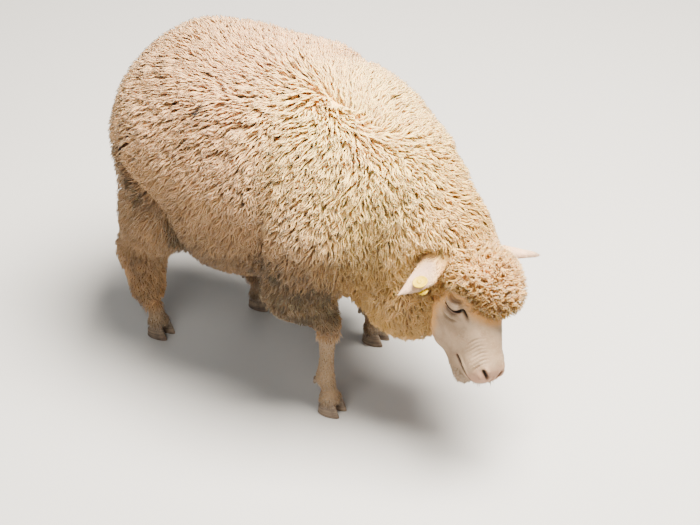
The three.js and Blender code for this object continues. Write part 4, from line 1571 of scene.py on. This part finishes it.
class Shader:
    """A node material, put together from expressions."""

    def __init__(self, name: str) -> None:
        """Makes the material, under the finish's name, with an empty tree and a Principled shader."""
        self.material = bpy.data.materials.new(name)
        self.material.use_nodes = True
        self.tree = self.material.node_tree
        self.tree.nodes.clear()
        self.surface = self.node("ShaderNodeBsdfPrincipled")
        out = self.node("ShaderNodeOutputMaterial")
        self.tree.links.new(self.surface.outputs[0], out.inputs[0])

    def node(self, kind: str, settings: dict | None = None, inputs: dict | None = None) -> bpy.types.Node:
        """Adds a node.

        Args:
            kind: Its type.
            settings: What is set first, such as its operation.
            inputs: The value or link of each socket.
        Returns:
            The node.
        """
        made = self.tree.nodes.new(kind)
        for name, value in (settings or {}).items():
            setattr(made, name, value)
        for key, value in (inputs or {}).items():
            self.put(made.inputs[key], value)
        return made

    def put(self, socket: Socket, value: object) -> None:
        """Links or sets one socket.

        Args:
            socket: The socket.
            value: An expression, another socket or a number.
        """
        if isinstance(value, Maths):
            value = value.socket
        if isinstance(value, Socket):
            self.tree.links.new(value, socket)
        else:
            socket.default_value = value

    def attribute(self, name: str) -> list[Maths]:
        """The three columns of a point attribute."""
        read = self.node("ShaderNodeAttribute", {"attribute_name": name})
        split = self.node("ShaderNodeSeparateXYZ", inputs={0: read.outputs["Vector"]})
        return [Maths(self, split.outputs[k]) for k in range(3)]

    def place(self, scale: tuple = (1, 1, 1)) -> Socket:
        """Object coordinates, stretched."""
        where = self.node("ShaderNodeTexCoord").outputs["Object"]
        return self.node("ShaderNodeVectorMath", {"operation": "MULTIPLY"}, {0: where, 1: scale}).outputs[0]

    def vector(self, x: object, y: object, z: object) -> Socket:
        """Three values as a vector."""
        return self.node("ShaderNodeCombineXYZ", inputs={0: x, 1: y, 2: z}).outputs[0]

    def noise(self, where: object, scale: float, detail: float = 3.0, rough: float = 0.55) -> Maths:
        """Noise from 0 to 1."""
        inputs = {"Vector": where, "Scale": scale, "Detail": detail, "Roughness": rough}
        return Maths(self, self.node("ShaderNodeTexNoise", inputs=inputs).outputs[0])

    def mix(self, share: object, a: object, b: object, how: str = "MIX") -> Socket:
        """Colour a turned towards colour b."""
        made = self.node("ShaderNodeMix", {"data_type": "RGBA", "blend_type": how}, {0: share, 6: a, 7: b})
        return made.outputs[2]

    def bump(self, height: Maths, strength: float, distance: float) -> None:
        """Bumps the surface."""
        made = self.node("ShaderNodeBump", inputs={"Height": height, "Strength": strength, "Distance": distance})
        self.put(self.surface.inputs["Normal"], made.outputs[0])

    def finish(self, colour: object, roughness: object, constants: dict | None = None) -> Material:
        """Sets the Principled shader's sockets.

        Args:
            colour: For Base Color.
            roughness: For Roughness.
            constants: Numbers for other sockets.
        Returns:
            The material.
        """
        for name, value in {"Base Color": colour, "Roughness": roughness, **(constants or {})}.items():
            self.put(self.surface.inputs[name], value)
        return self.material


def srgb(red: float, green: float, blue: float) -> tuple:
    """A colour in linear light.

    Args:
        red: Its red from 0 to 255, as on a screen.
        green: Its green.
        blue: Its blue.
    Returns:
        The colour, opaque.
    """

    def lin(c: float) -> float:
        """One channel."""
        c /= 255
        return c / 12.92 if c <= 0.04045 else ((c + 0.055) / 1.055) ** 2.4

    return (lin(red), lin(green), lin(blue), 1.0)


@dataclass(frozen=True)
class WoolFinish:
    """Crimped wool: colour by the coat's markings, darker at the roots as painted shade deep in the fleece, streaked
    along the lock.
    """

    name: str = "wool"
    plain: tuple = srgb(224, 166, 112)
    golden: tuple = srgb(227, 166, 88)
    cream: tuple = srgb(255, 209, 122)
    # dirt and painted shade, by the soil-and-shade share
    soil: tuple = srgb(74, 60, 42)
    fleck: tuple = srgb(40, 27, 16)
    # painted shade: the colour deep in the fleece, toward the locks' roots
    root: tuple = srgb(108, 72, 40)
    soft: float = 0.08  # sheen

    def coloured(self, shader: Shader, marks: list[Maths]) -> Socket:
        """The coat's colour by its markings, mottled.

        Args:
            shader: The material that it is for.
            marks: Golden, cream, and soil with painted shade.
        Returns:
            The colour.
        """
        golden, cream, soil = marks
        mottle = shader.noise(shader.place(), 22.0, 4.0)
        base = shader.mix(golden, self.plain, self.golden)
        base = shader.mix(cream * (mottle + 0.45), base, self.cream)
        # dirt and painted shade: low down, on the rear and in the folds
        base = shader.mix(soil * (mottle * 0.5 + 0.7), base, self.soil)
        return shader.mix(soil.step(1.2, 1.7), base, self.fleck)

    def material(self) -> Material:
        """Makes the material."""
        shader = Shader(self.name)
        across, along, chance = shader.attribute("strand")
        marks = shader.attribute("marks")
        _, cream, soil = marks
        base = self.coloured(shader, marks)
        streak = shader.noise(shader.vector(across * 2.6 + chance * 60.0, along * 2.2, chance * 37.0), 1.6, 3.0, 0.6)
        fibres = shader.noise(shader.vector(across * 7.0 + chance * 91.0, along * 1.6, chance * 53.0), 1.8, 2.0, 0.7)
        crimp = (along * 75.0 + chance * 40.0 + fibres * 2.0).sine()
        # painted shade: each lock darkens toward its root, less where the wool is creamy and more where it is soiled
        # or shaded
        unshaded_at_root = cream * 0.3 + 0.64 - soil * 0.3
        base = shader.mix(unshaded_at_root + (1.0 - unshaded_at_root) * along.step(0.0, 0.6), self.root, base)
        tone = chance * 0.16 + streak * 0.16 + fibres * 0.2 + 0.78 + soil * (chance * 1.2 + streak * 0.4 - 0.7)
        base = shader.mix(1.0, base, shader.vector(tone, tone, tone), "MULTIPLY")
        shader.bump(streak * 0.5 + fibres + crimp * 0.12, 0.7, 0.0014)
        constants = {
            "Sheen Weight": self.soft, "Sheen Roughness": 0.6, "Specular IOR Level": 0.12,
            "Subsurface Weight": 0.5, "Subsurface Scale": 0.008, "Subsurface Radius": (1.0, 0.75, 0.5),
        }
        return shader.finish(base, 0.85, constants)


@dataclass(frozen=True)
class HairFinish:
    """Short white hair, from a warmer root to a pale point."""

    name: str = "short_hair"
    root: tuple = srgb(158, 134, 107)
    point: tuple = srgb(172, 149, 122)
    pale: tuple = srgb(218, 188, 154)
    golden: tuple = srgb(230, 172, 108)
    soiled_and_shaded: tuple = srgb(126, 100, 68)

    def material(self) -> Material:
        """Makes the material."""
        shader = Shader(self.name)
        _, along, chance = shader.attribute("strand")
        golden, cream, soil = shader.attribute("marks")
        base = shader.mix(along.step(0.0, 0.8), self.root, self.point)
        base = shader.mix(cream, base, self.pale)
        base = shader.mix(golden, base, self.golden)
        # dirt and painted shade low down, as on the wool
        base = shader.mix(soil * 0.75, base, self.soiled_and_shaded)
        tone = chance * 0.16 + 0.88
        base = shader.mix(1.0, base, shader.vector(tone, tone, tone), "MULTIPLY")
        return shader.finish(base, 0.7, {"Sheen Weight": 0.2, "Specular IOR Level": 0.25})


@dataclass(frozen=True)
class SkinFinish:
    """Short white hair over pink skin on face, ears and lower legs, with painted shade in slits and folds; brown
    under the wool, darkened there as painted shade so gaps in the fleece read as shadow.
    """

    wool: WoolFinish
    name: str = "skin"
    hair: tuple = srgb(172, 148, 121)
    warm: tuple = srgb(136, 112, 87)
    pink: tuple = srgb(190, 138, 114)
    # dirt and painted shade, by the soil-and-shade share
    grimy: tuple = srgb(120, 94, 64)
    pale: tuple = srgb(214, 182, 146)
    grey: tuple = srgb(112, 92, 76)
    # painted shade in slits, nostrils, mouth and folds
    dark: tuple = srgb(38, 25, 20)
    # painted shade: skin under the wool, dark so that gaps in the fleece read as shadow
    under: tuple = srgb(120, 82, 50)

    def material(self) -> Material:
        """Makes the material."""
        shader = Shader(self.name)
        bare, dark, pink = shader.attribute("bare")
        marks = shader.attribute("marks")
        where = shader.place()
        coarse = shader.noise(where, 30.0, 4.0)
        fine = shader.noise(where, 420.0, 2.0, 0.7)
        hair = shader.mix(coarse.step(0.35, 0.7) * 0.8, self.hair, self.warm)
        hair = shader.mix(marks[1], hair, self.pale)
        hair = shader.mix(pink * (coarse + 0.4), hair, self.pink)
        hair = shader.mix(pink * coarse.step(0.45, 0.66) * (0.9 - marks[1]), hair, self.grey)
        hair = shader.mix(fine.step(0.35, 0.75) * 0.28, hair, self.warm)
        # dirt and painted shade on the lower legs and low down, as on the wool
        hair = shader.mix(marks[2] * 0.75, hair, self.grimy)
        # painted shade: skin deep under the wool darkens toward the under colour
        deep = (1.0 - bare.step(0.0, 0.06)) * 0.3
        under = shader.mix(deep, self.wool.coloured(shader, marks), self.under)
        base = shader.mix(bare, under, hair)
        # painted shade in the slits, nostrils, mouth, tear groove and folds
        base = shader.mix(dark, base, self.dark)
        shader.bump(fine + coarse * 0.5, 0.35, 0.0008)
        constants = {"Specular IOR Level": 0.3, "Subsurface Weight": 0.06, "Subsurface Scale": 0.004}
        return shader.finish(base, 0.62, constants)


@dataclass(frozen=True)
class HornFinish:
    """Grey-brown horn with growth rings."""

    name: str = "horn"
    dark: tuple = srgb(92, 76, 62)
    light: tuple = srgb(140, 120, 98)
    spot: tuple = srgb(60, 48, 38)

    def material(self) -> Material:
        """Makes the material."""
        shader = Shader(self.name)
        rings = shader.noise(shader.place((14, 14, 260)), 1.0, 3.0)
        spots = shader.noise(shader.place(), 60.0, 4.0)
        base = shader.mix(rings.step(0.3, 0.7), self.dark, self.light)
        base = shader.mix(spots.step(0.5, 0.75) * 0.6, base, self.spot)
        shader.bump(rings + spots * 0.4, 0.5, 0.0006)
        return shader.finish(base, 0.45 + 0.2 * spots, {"Coat Weight": 0.05})


@dataclass(frozen=True)
class EyeFinish:
    """A wet amber eye with a level dark pupil, read from the eye's own coordinates."""

    name: str = "eye"
    amber: tuple = srgb(110, 70, 26)
    gold: tuple = srgb(168, 120, 50)
    rim: tuple = srgb(60, 44, 38)
    pupil: tuple = srgb(8, 6, 6)

    def material(self) -> Material:
        """Makes the material."""
        shader = Shader(self.name)
        level, upright, _ = shader.attribute("gaze")
        ring = level * level + upright * upright
        fibres = shader.noise(shader.vector(level * 3.0, upright * 3.0, 0.0), 4.0, 4.0)
        iris = shader.mix(fibres.step(0.3, 0.7), self.amber, self.gold)
        base = shader.mix(ring.step(0.5, 0.62), iris, self.rim)
        pupil = (1.0 - (level * level).step(0.12, 0.2)) * (1.0 - (upright * upright).step(0.012, 0.03))
        base = shader.mix(pupil, base, self.pupil)
        return shader.finish(base, 0.06, {"Coat Weight": 1.0, "Coat Roughness": 0.02})


@dataclass(frozen=True)
class TagFinish:
    """Yellow plastic, lightly soiled."""

    name: str = "tag_plastic"
    yellow: tuple = srgb(182, 152, 0)
    grimy: tuple = srgb(146, 114, 0)

    def material(self) -> Material:
        """Makes the material."""
        shader = Shader(self.name)
        grime = shader.noise(shader.place(), 130.0, 4.0)
        scuff = shader.noise(shader.place((900, 200, 900)), 1.0, 2.0)
        base = shader.mix(grime.step(0.5, 0.8) * 0.5, self.yellow, self.grimy)
        shader.bump(scuff + grime * 0.5, 0.15, 0.0003)
        return shader.finish(base, 0.42 + 0.25 * grime, {"Specular IOR Level": 0.35})


# ---- putting pieces in the scene
def made_object(name: str, shell: Shell, body: Body, material: Material) -> bpy.types.Object:
    """Makes an object at the origin with its place in its mesh.

    Args:
        name: The piece's name.
        shell: The mesh in millimetres on the body.
        body: The ewe, for the frame's origin.
        material: Its finish.
    Returns:
        The object, linked to the scene.
    """
    mesh = bpy.data.meshes.new(name)
    points = body.placed(shell.points).astype(np.float32)
    tris = shell.triangles.astype(np.int32)
    mesh.vertices.add(len(points))
    mesh.vertices.foreach_set("co", points.ravel())
    mesh.loops.add(tris.size)
    mesh.loops.foreach_set("vertex_index", tris.ravel())
    mesh.polygons.add(len(tris))
    mesh.polygons.foreach_set("loop_start", np.arange(0, tris.size, 3, dtype=np.int32))
    mesh.polygons.foreach_set("use_smooth", np.full(len(tris), True))
    for key, value in shell.values.items():
        made = mesh.attributes.new(key, "FLOAT_VECTOR", "POINT")
        made.data.foreach_set("vector", value.astype(np.float32).ravel())
    if shell.uv is not None:
        layer = mesh.uv_layers.new(name="OFBake")
        layer.uv.foreach_set("vector", shell.uv[tris.ravel()].astype(np.float32).ravel())
    mesh.update(calc_edges=True)
    mesh.validate()
    mesh.materials.append(material)
    piece = bpy.data.objects.new(name, mesh)
    bpy.context.scene.collection.objects.link(piece)
    log.info("%s: %d triangles", name, len(tris))
    return piece


def ridden(piece: bpy.types.Object, slot: str, *nodes: str) -> None:
    """Puts a piece on the one body.

    Args:
        piece: The piece.
        slot: Not used.
        nodes: The nodes that it replaces.
    """
    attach(piece, "root")
    if nodes:
        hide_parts(*nodes)


@dataclass(frozen=True)
class HairStyle:
    """How one sort of short hair lies. Lengths are in millimetres."""

    length: float
    width: float
    lift: float  # how far its point stands off the skin
    spacing: float


@dataclass
class ShortHair:
    """Short hair that lies close on face, ears and lower legs, as small closed tufts over the skin."""

    body: Body
    skin: Skin
    coat: Coat
    face: HairStyle = HairStyle(4.6, 0.9, 0.1, 3.2)
    ear: HairStyle = HairStyle(5.5, 0.9, 0.3, 3.0)
    leg: HairStyle = HairStyle(11.0, 1.9, 1.2, 4.6)
    fringe: HairStyle = HairStyle(15.0, 2.2, 3.0, 2.6)
    over_nose: tuple = ((160, 0, -15), 120)  # on the head, the middle of the face's hair and how far it goes
    leg_top: float = 235
    hem_high: tuple = (36, 44, 46)  # heights where the fringe starts, the legs' hair starts and the fringe ends
    deep: float = 0.4  # how far under the skin a tuft starts
    bands: int = 2
    seed: int = 5

    def __post_init__(self) -> None:
        """Sets up its random numbers."""
        self.random = np.random.default_rng(self.seed)

    def tufts(self, at: Array, out: Array, lie: Array, style: HairStyle, pale: float = 0) -> Shell:
        """Tufts that start just under the skin and run along the lie, a little off it: length * t along the lie and
        lift * t^0.7 outward, both varied by a normal draw.

        Args:
            at: Their roots.
            out: The way out at each.
            lie: The way that each lies.
            style: Their sizes.
            pale: How pale they are.
        Returns:
            The tufts as one mesh.
        """
        count = len(at)
        draw = self.random.normal(size=(count, 6)).clip(-2, 2)
        lie = flat(lie + 0.28 * draw[:, :3], out)
        t = np.linspace(0, 1, self.bands + 1)
        woolly = 1 - ease(*self.skin.hem, sampled(self.skin.fleece, at))
        length = style.length * (1 + 0.22 * draw[:, 3]) * (1 + 0.9 * woolly)
        lift = style.lift * (1 + 0.4 * draw[:, 4]) * (1 + 3.5 * woolly)
        line = (at - self.deep * out)[:, None] + lie[:, None] * (length[:, None] * t)[..., None]
        line = line + out[:, None] * (lift[:, None] * t**0.7 + self.deep * t)[..., None]
        outs = np.repeat(out[:, None], self.bands + 1, axis=1)
        width = style.width * (1 + 0.2 * draw[:, 5])
        made = tubes(line, outs, width, np.full(count, 0.45), self.random.random(count))
        marks = self.coat.markings.values(at)
        marks[:, 0] = woolly * np.maximum(marks[:, 0], 0.6)
        marks[:, 1] = pale
        made.values["marks"] = np.repeat(marks, len(made.points) // count, axis=0)
        return mapped(made, self.body, at)

    def on_face(self) -> Shell:
        """Over nose, cheeks and lids, from the nose up and back, but not in the folds, on lips or nostrils."""
        at, out = scattered(self.skin.sculpted, self.face.spacing, self.random)
        q = self.body.to_head(at)
        middle, reach = self.over_nose
        near = (away(q, middle) < reach) & (sampled(self.skin.fleece, at) > -3)
        at, out, q = at[near], out[near], q[near]
        open_skin = (self.skin.relief.dark(q) < 0.06) & (self.skin.relief.pink(q) < 0.35)
        at, out, q = at[open_skin], out[open_skin], q[open_skin]
        back = np.stack([np.full(len(q), -1.0), 0.35 * np.sign(q[:, 1]), -0.15 - 0.004 * np.abs(q[:, 1])], 1)
        return self.tufts(at, out, back @ self.body.turn.T, self.face)

    def on_ear(self, side: str) -> Shell:
        """Over one ear, from its root to its tip and out over the edges.

        Args:
            side: Left or right.
        Returns:
            The tufts.
        """
        ear = self.skin.ears[side]
        at, out = scattered(self.skin.leaves[side], self.ear.spacing, self.random)
        clear = sampled(self.skin.fleece, at) > -6
        at, out = at[clear], out[clear]
        across = ((at - ear.root) @ ear.across / (ear.half * 0.7))[:, None] * ear.across
        return self.tufts(at, out, unit(ear.axis) + 0.45 * across, self.ear, 1)

    def on_legs(self) -> Shell:
        """Down the lower legs, and a longer fringe over the coronets."""
        at, out = scattered(self.skin.sculpted, self.leg.spacing, self.random)
        low, between, high = self.hem_high
        bare = (at[:, 2] < self.leg_top) & (sampled(self.skin.fleece, at) > -3) & (at[:, 2] > between)
        at, out = at[bare], out[bare]
        made = self.tufts(at, out, np.broadcast_to([-0.15, 0, -1.0], at.shape), self.leg)
        at, out = scattered(self.skin.sculpted, self.fringe.spacing, self.random)
        hem = (at[:, 2] > low) & (at[:, 2] < high)
        at, out = at[hem], out[hem]
        return made.joined(self.tufts(at, out, np.broadcast_to([0.0, 0, -1.0], at.shape), self.fringe))


@dataclass(frozen=True)
class Eye:
    """An eyeball with a slightly proud cornea; its gaze values run across the iris, 1 at its edge."""

    body: Body
    side: int
    iris: float = 7.2
    proud: float = 0.6
    cornea: float = 0.5  # half its spread over the ball, in radians
    pole: float = 0.02  # radians from the axis to the first and last circles
    rings: int = 40
    sides: int = 48

    def shell(self) -> Shell:
        """The ball: circles about its axis, of radius eye_radius + proud * exp(-(turn / cornea)^2)."""
        axis = self.body.turn @ unit(np.array(self.body.eye_axis) * np.array([1, self.side, 1]))
        level = unit(np.cross(np.array([0, 0, 1.0]), axis))
        upright = np.cross(axis, level)
        turn = np.linspace(self.pole, math.pi - self.pole, self.rings)[::-1]
        around = np.linspace(0, 2 * math.pi, self.sides, endpoint=False)
        radius = self.body.eye_radius + self.proud * np.exp(-((turn / self.cornea) ** 2))
        out = np.sin(turn)[:, None, None] * (
            np.cos(around)[None, :, None] * level + np.sin(around)[None, :, None] * upright
        ) + np.cos(turn)[:, None, None] * axis
        made = swept(self.body.eye_centre(self.side) + radius[:, None, None] * out)
        local = (made.points - self.body.eye_centre(self.side)) / self.iris
        made.values["gaze"] = np.stack([local @ level, local @ upright, local @ axis], 1)
        return made


@dataclass(frozen=True)
class Claws:
    """The two claws and two dewclaws of one foot."""

    body: Body
    kind: str
    side: str
    gap: float = 3.0  # between the claws
    root: float = 6.3  # radius of a dewclaw where it starts,
    tip: float = 3.0  # and near its end
    long: float = 18  # a dewclaw's length
    apart: float = 10  # from the foot's middle to each of them
    high: float = 72
    droop: float = 18  # degrees from upright
    behind: dict = field(default_factory=lambda: {"fore": 27, "hind": 33})
    rings: tuple = (22, 14)  # sections of a claw and of a dewclaw,
    sides: tuple = (48, 24)  # and points on each

    def claw(self, twin: int) -> Shell:
        """One claw: a flat sole, a sloping front wall with growth rings, and a flatter side toward its twin.

        Args:
            twin: 1 for the left one and -1 for the right one.
        Returns:
            The claw.
        """
        body = self.body
        x, y = body.feet[self.kind, self.side]
        half, wide, top = body.claw_long / 2, body.claw_wide / 2, body.coronet_top
        stations = np.array(
            [  # how far forward, height, half width, half length, how much it slopes
                (9.0, 0.0, wide - 0.8, half - 1.0, 0.0),
                (9.0, 1.2, wide, half, 0.0),
                (8.4, 7.0, wide + 0.3, half - 1.5, 0.15),
                (5.6, 17.0, wide - 0.3, half * 0.86, 0.6),
                (3.0, top - 0.3, wide - 1.0, half * 0.76, 1.0),
            ]
        )
        path = curve_through(stations, self.rings[0])
        path[0], path[-1] = stations[0], stations[-1]
        turn = np.linspace(0, 2 * math.pi, self.sides[0], endpoint=False)
        sideways = np.sin(turn) * (1 - 0.24 * np.cos(turn))
        sideways = sideways * np.where(sideways * twin < 0, 0.9, 1.0)
        grown_rings = 1 + 0.006 * np.sin(path[:, 1] * 1.7)
        forward = path[:, 3:4] * grown_rings[:, None] * np.cos(turn)
        slope = path[:, 4:5] * body.coronet[2] / body.coronet[0]
        ahead = x + path[:, :1] + forward * (1 - 0.12 * path[:, 4:5])
        left = y + twin * (wide + self.gap / 2) + path[:, 2:3] * grown_rings[:, None] * sideways
        up = np.maximum(path[:, 1:2] + forward * slope, 0.05)
        return swept(np.stack([ahead, left, up], -1))

    def dewclaw(self, twin: int) -> Shell:
        """A small blunt cone of horn behind the fetlock, that points down.

        Args:
            twin: 1 for the left one and -1 for the right one.
        Returns:
            The dewclaw.
        """
        x, y = self.body.feet[self.kind, self.side]
        t = np.linspace(0, 1, self.rings[1])
        blunt = np.sqrt(np.clip(1 - ((t - 0.75) / 0.26).clip(0) ** 2, 0.02, 1))
        radius = (self.root + (self.tip - self.root) * t) * blunt
        turn = np.linspace(0, 2 * math.pi, self.sides[1], endpoint=False)
        tilt = math.radians(self.droop)
        down = np.array([-math.sin(tilt), 0, -math.cos(tilt)])
        front = np.array([math.cos(tilt), 0, -math.sin(tilt)])
        centre = np.array([x - self.behind[self.kind], y + twin * self.apart, self.high])
        middle = centre + down * ((t - 0.5) * self.long)[:, None]
        circle = np.cos(turn)[:, None] * front + np.sin(turn)[:, None] * np.array([0, 1.0, 0])
        return swept(middle[:, None] + radius[:, None, None] * circle[None, ::-1])

    def shell(self) -> Shell:
        """All four."""
        made = self.claw(1).joined(self.claw(-1))
        return made.joined(self.dewclaw(1)).joined(self.dewclaw(-1))

    def nodes(self) -> list[str]:
        """The names of the solids that it stands for."""
        leg = f"{self.kind}_leg_{self.side}"
        return [f"{leg}_{part}_{which}" for part in ("claw", "dewclaw") for which in ("outer", "inner")]


@dataclass(frozen=True)
class Tag:
    """The right ear's tag: a disc outside the leaf, a smaller one inside, and the pin between."""

    ear: Ear
    radius: float = 15
    button: float = 9.5  # radius of the inner disc
    thick: float = 2.4
    pin: float = 2.2
    along: float = 0.69  # where the pin goes through, as a share of the ear's length,
    across: float = 0.62  # of its half width toward the front edge,
    sunk: float = 0.19  # and of its half width down into the hollow
    tilt: float = 32  # degrees from the way that the hollow faces to the pin's
    sway: float = 20
    outer: float = 13.5  # from the leaf to the middle of each disc
    inner: float = 14

    def frame(self) -> tuple[Array, Array]:
        """Where the pin goes through the leaf, and its way."""
        ear = self.ear
        at = ear.root + ear.axis * self.along
        at = at + ear.across * ear.half * self.across - ear.open * ear.half * self.sunk
        sway, tilt = math.radians(self.sway), math.radians(self.tilt)
        side = ear.across * math.cos(sway) + unit(ear.axis) * math.sin(sway)
        return at, side * math.sin(tilt) + ear.open * math.cos(tilt)

    def lathe(self, outline: Array, sides: int = 72) -> Shell:
        """Turns an outline about the pin.

        Args:
            outline: Heights along the pin and radii.
            sides: How many points each circle has.
        Returns:
            The turned piece.
        """
        at, pin = self.frame()
        one = unit(np.cross(pin, np.array([0.3, 0.5, 0.8])))
        two = np.cross(pin, one)
        turn = np.linspace(0, 2 * math.pi, sides, endpoint=False)[None, :, None]
        outline = np.asarray(outline, float)
        middle = at + outline[:, :1] * pin
        return swept(middle[:, None] + outline[:, 1, None, None] * (np.cos(turn) * one + np.sin(turn) * two))

    def disc(self, radius: float, at: float, way: int, boss: float) -> Shell:
        """A disc with a rounded rim, a low raised edge and a boss on its outer face.

        Args:
            radius: Its radius.
            at: Its place along the pin.
            way: 1 or -1, which way its outer face looks.
            boss: The boss's radius.
        Returns:
            The disc.
        """
        half = self.thick / 2
        rim = [(-half * math.cos(a), radius - 1.0 + 1.0 * math.sin(a)) for a in np.linspace(0, math.pi, 9)]
        low = half - 0.35  # between the raised edge and the boss
        face = [(half, radius - 2.2), (low, radius - 2.6), (low, boss + 0.8), (half - 0.1, boss + 0.2)]
        knob = [(half + 0.7, boss), (half + 1.0, boss - 0.5), (half + 1.0, 1.9), (half + 0.6, 1.6), (half + 0.6, 0.2)]
        outline = np.array([(-half, 0.2), (-half, radius - 2.5), *rim, *face, *knob])
        outline = outline if way > 0 else outline[::-1] * np.array([-1, 1])
        return self.lathe(outline + np.array([at, 0]))

    def shell(self) -> Shell:
        """All of it."""
        start, end = -self.outer + 0.9, self.inner - 0.9
        thin, collar = 0.2, self.pin + 0.8
        stem = self.lathe([(start, thin), (start, collar), (start + 1.2, self.pin), (end, self.pin), (end, thin)], 24)
        discs = self.disc(self.radius, -self.outer, -1, 5.0).joined(self.disc(self.button, self.inner, 1, 4.0))
        return discs.joined(stem)


def main() -> None:
    """Builds the ewe piece by piece."""
    logging.basicConfig(level=logging.INFO, format="%(message)s")
    body = Body()
    markings = Markings(body)
    wool = WoolFinish()
    skin = Skin(body, markings)
    hide = made_object("skin", skin.shell(), body, SkinFinish(wool).material())
    limbs = [f"{kind}_leg_{side}" for kind, side in body.feet]
    ridden(
        hide, "skin", "trunk", "neck", "tail", "head", "face", "lower_jaw", "ear_left", "ear_right",
        *limbs, *(f"{limb}_lower" for limb in limbs),
    )
    coat = Coat(body, skin, markings)
    coat.gather()
    roots = coat.roots("spacing")
    fleece_finish = wool.material()
    trunk, x, y, _ = roots.zone == Zone.TRUNK.value, *roots.at.T
    parts = {f"wool_{zone.name.lower()}": roots.zone == zone.value for zone in Zone if zone != Zone.TRUNK}
    for side, mine in (("right", y < 0), ("left", y >= 0)):
        parts[f"wool_{side}_rump"] = trunk & mine & (x < RUMP_TO)
        parts[f"wool_{side}_barrel"] = trunk & mine & (x >= RUMP_TO) & (x < SHOULDER_FROM)
        parts[f"wool_{side}_shoulder"] = trunk & mine & (x >= SHOULDER_FROM)
    for name, chosen in parts.items():
        piece = made_object(name, coat.grow(roots.only(chosen)), body, fleece_finish)
        ridden(piece, "wool_head" if name in ("wool_neck", "wool_head") else "wool_body")
    hair, hair_finish = ShortHair(body, skin, coat), HairFinish().material()
    tufts = {"face": hair.on_face(), "legs": hair.on_legs(), **{f"ear_{side}": hair.on_ear(side) for side in SIDES}}
    for name, made in tufts.items():
        ridden(made_object(f"hair_{name}", made, body, hair_finish), "skin")
    eye_finish, horn_finish = EyeFinish().material(), HornFinish().material()
    for name, side in SIDES.items():
        ridden(made_object(f"eyeball_{name}", Eye(body, side).shell(), body, eye_finish), "eye", f"eye_{name}")
    for kind, side in body.feet:
        foot = Claws(body, kind, side)
        ridden(made_object(f"claws_{kind}_{side}", foot.shell(), body, horn_finish), "horn", *foot.nodes())
    tag = made_object("ear_tag", Tag(skin.ears["right"]).shell(), body, TagFinish().material())
    ridden(tag, "tag", "ear_tag_outer", "ear_tag_inner")
    Studio().build()


@dataclass(frozen=True)
class Studio:
    """Floor, soft lights and the camera."""

    target: tuple = (0.0944, -0.0404, 0.320)
    azimuth: float = 34
    elevation: float = 37
    distance: float = 3.7
    lens: float = 93.24
    floor_half: float = 6
    floor_colour: tuple = (0.4, 0.39, 0.37, 1.0)
    sky: tuple = (0.9, 0.95, 1.0, 1)
    sky_strength: float = 0.2
    lamps: tuple = (  # name, place, size, power, colour
        ("key_light", (0.75, 0.3, 3.3), 1.7, 1060, (1.0, 0.94, 0.86)),
        ("fill_light", (0.4, -2.6, 3.2), 2.0, 80, (1.0, 0.98, 0.95)),
        ("rim_light", (-2.0, 2.6, 2.2), 2.0, 30, (1.0, 0.98, 0.94)),
    )

    def light(self, name: str, place: tuple, size: float, power: float, colour: tuple) -> None:
        """Adds one soft square light that faces the animal.

        Args:
            name: Its name.
            place: Where it stands.
            size: Length of its edges.
            power: In watts.
            colour: Of its light.
        """
        data = bpy.data.lights.new(name, "AREA")
        data.size, data.energy, data.color = size, power, colour
        lamp = bpy.data.objects.new(name, data)
        lamp.location = place
        lamp.rotation_euler = (Vector(self.target) - Vector(place)).to_track_quat("-Z", "Y").to_euler()
        bpy.context.scene.collection.objects.link(lamp)

    def build(self) -> None:
        """Puts all of it in the scene."""
        mesh = bpy.data.meshes.new("floor")
        half = self.floor_half
        mesh.from_pydata([(-half, -half, 0), (half, -half, 0), (half, half, 0), (-half, half, 0)], [], [(0, 1, 2, 3)])
        mesh.materials.append(Shader("floor").finish(self.floor_colour, 0.85))
        floor = bpy.data.objects.new("floor", mesh)
        bpy.context.scene.collection.objects.link(floor)
        for lamp in self.lamps:
            self.light(*lamp)
        world = bpy.data.worlds.new("studio")
        world.use_nodes = True
        background = world.node_tree.nodes["Background"]
        background.inputs["Color"].default_value = self.sky
        background.inputs["Strength"].default_value = self.sky_strength
        bpy.context.scene.world = world
        a, e = math.radians(self.azimuth), math.radians(self.elevation)
        back = Vector((math.sin(a) * math.cos(e), -math.cos(a) * math.cos(e), math.sin(e)))
        data = bpy.data.cameras.new("camera")
        data.lens, data.sensor_width, data.clip_start, data.clip_end = self.lens, 36, 0.1, 60
        camera = bpy.data.objects.new("camera", data)
        camera.location = Vector(self.target) + back * self.distance
        camera.rotation_euler = back.to_track_quat("Z", "Y").to_euler()
        bpy.context.scene.collection.objects.link(camera)
        bpy.context.scene.camera = camera


if __name__ == "__main__":
    main()
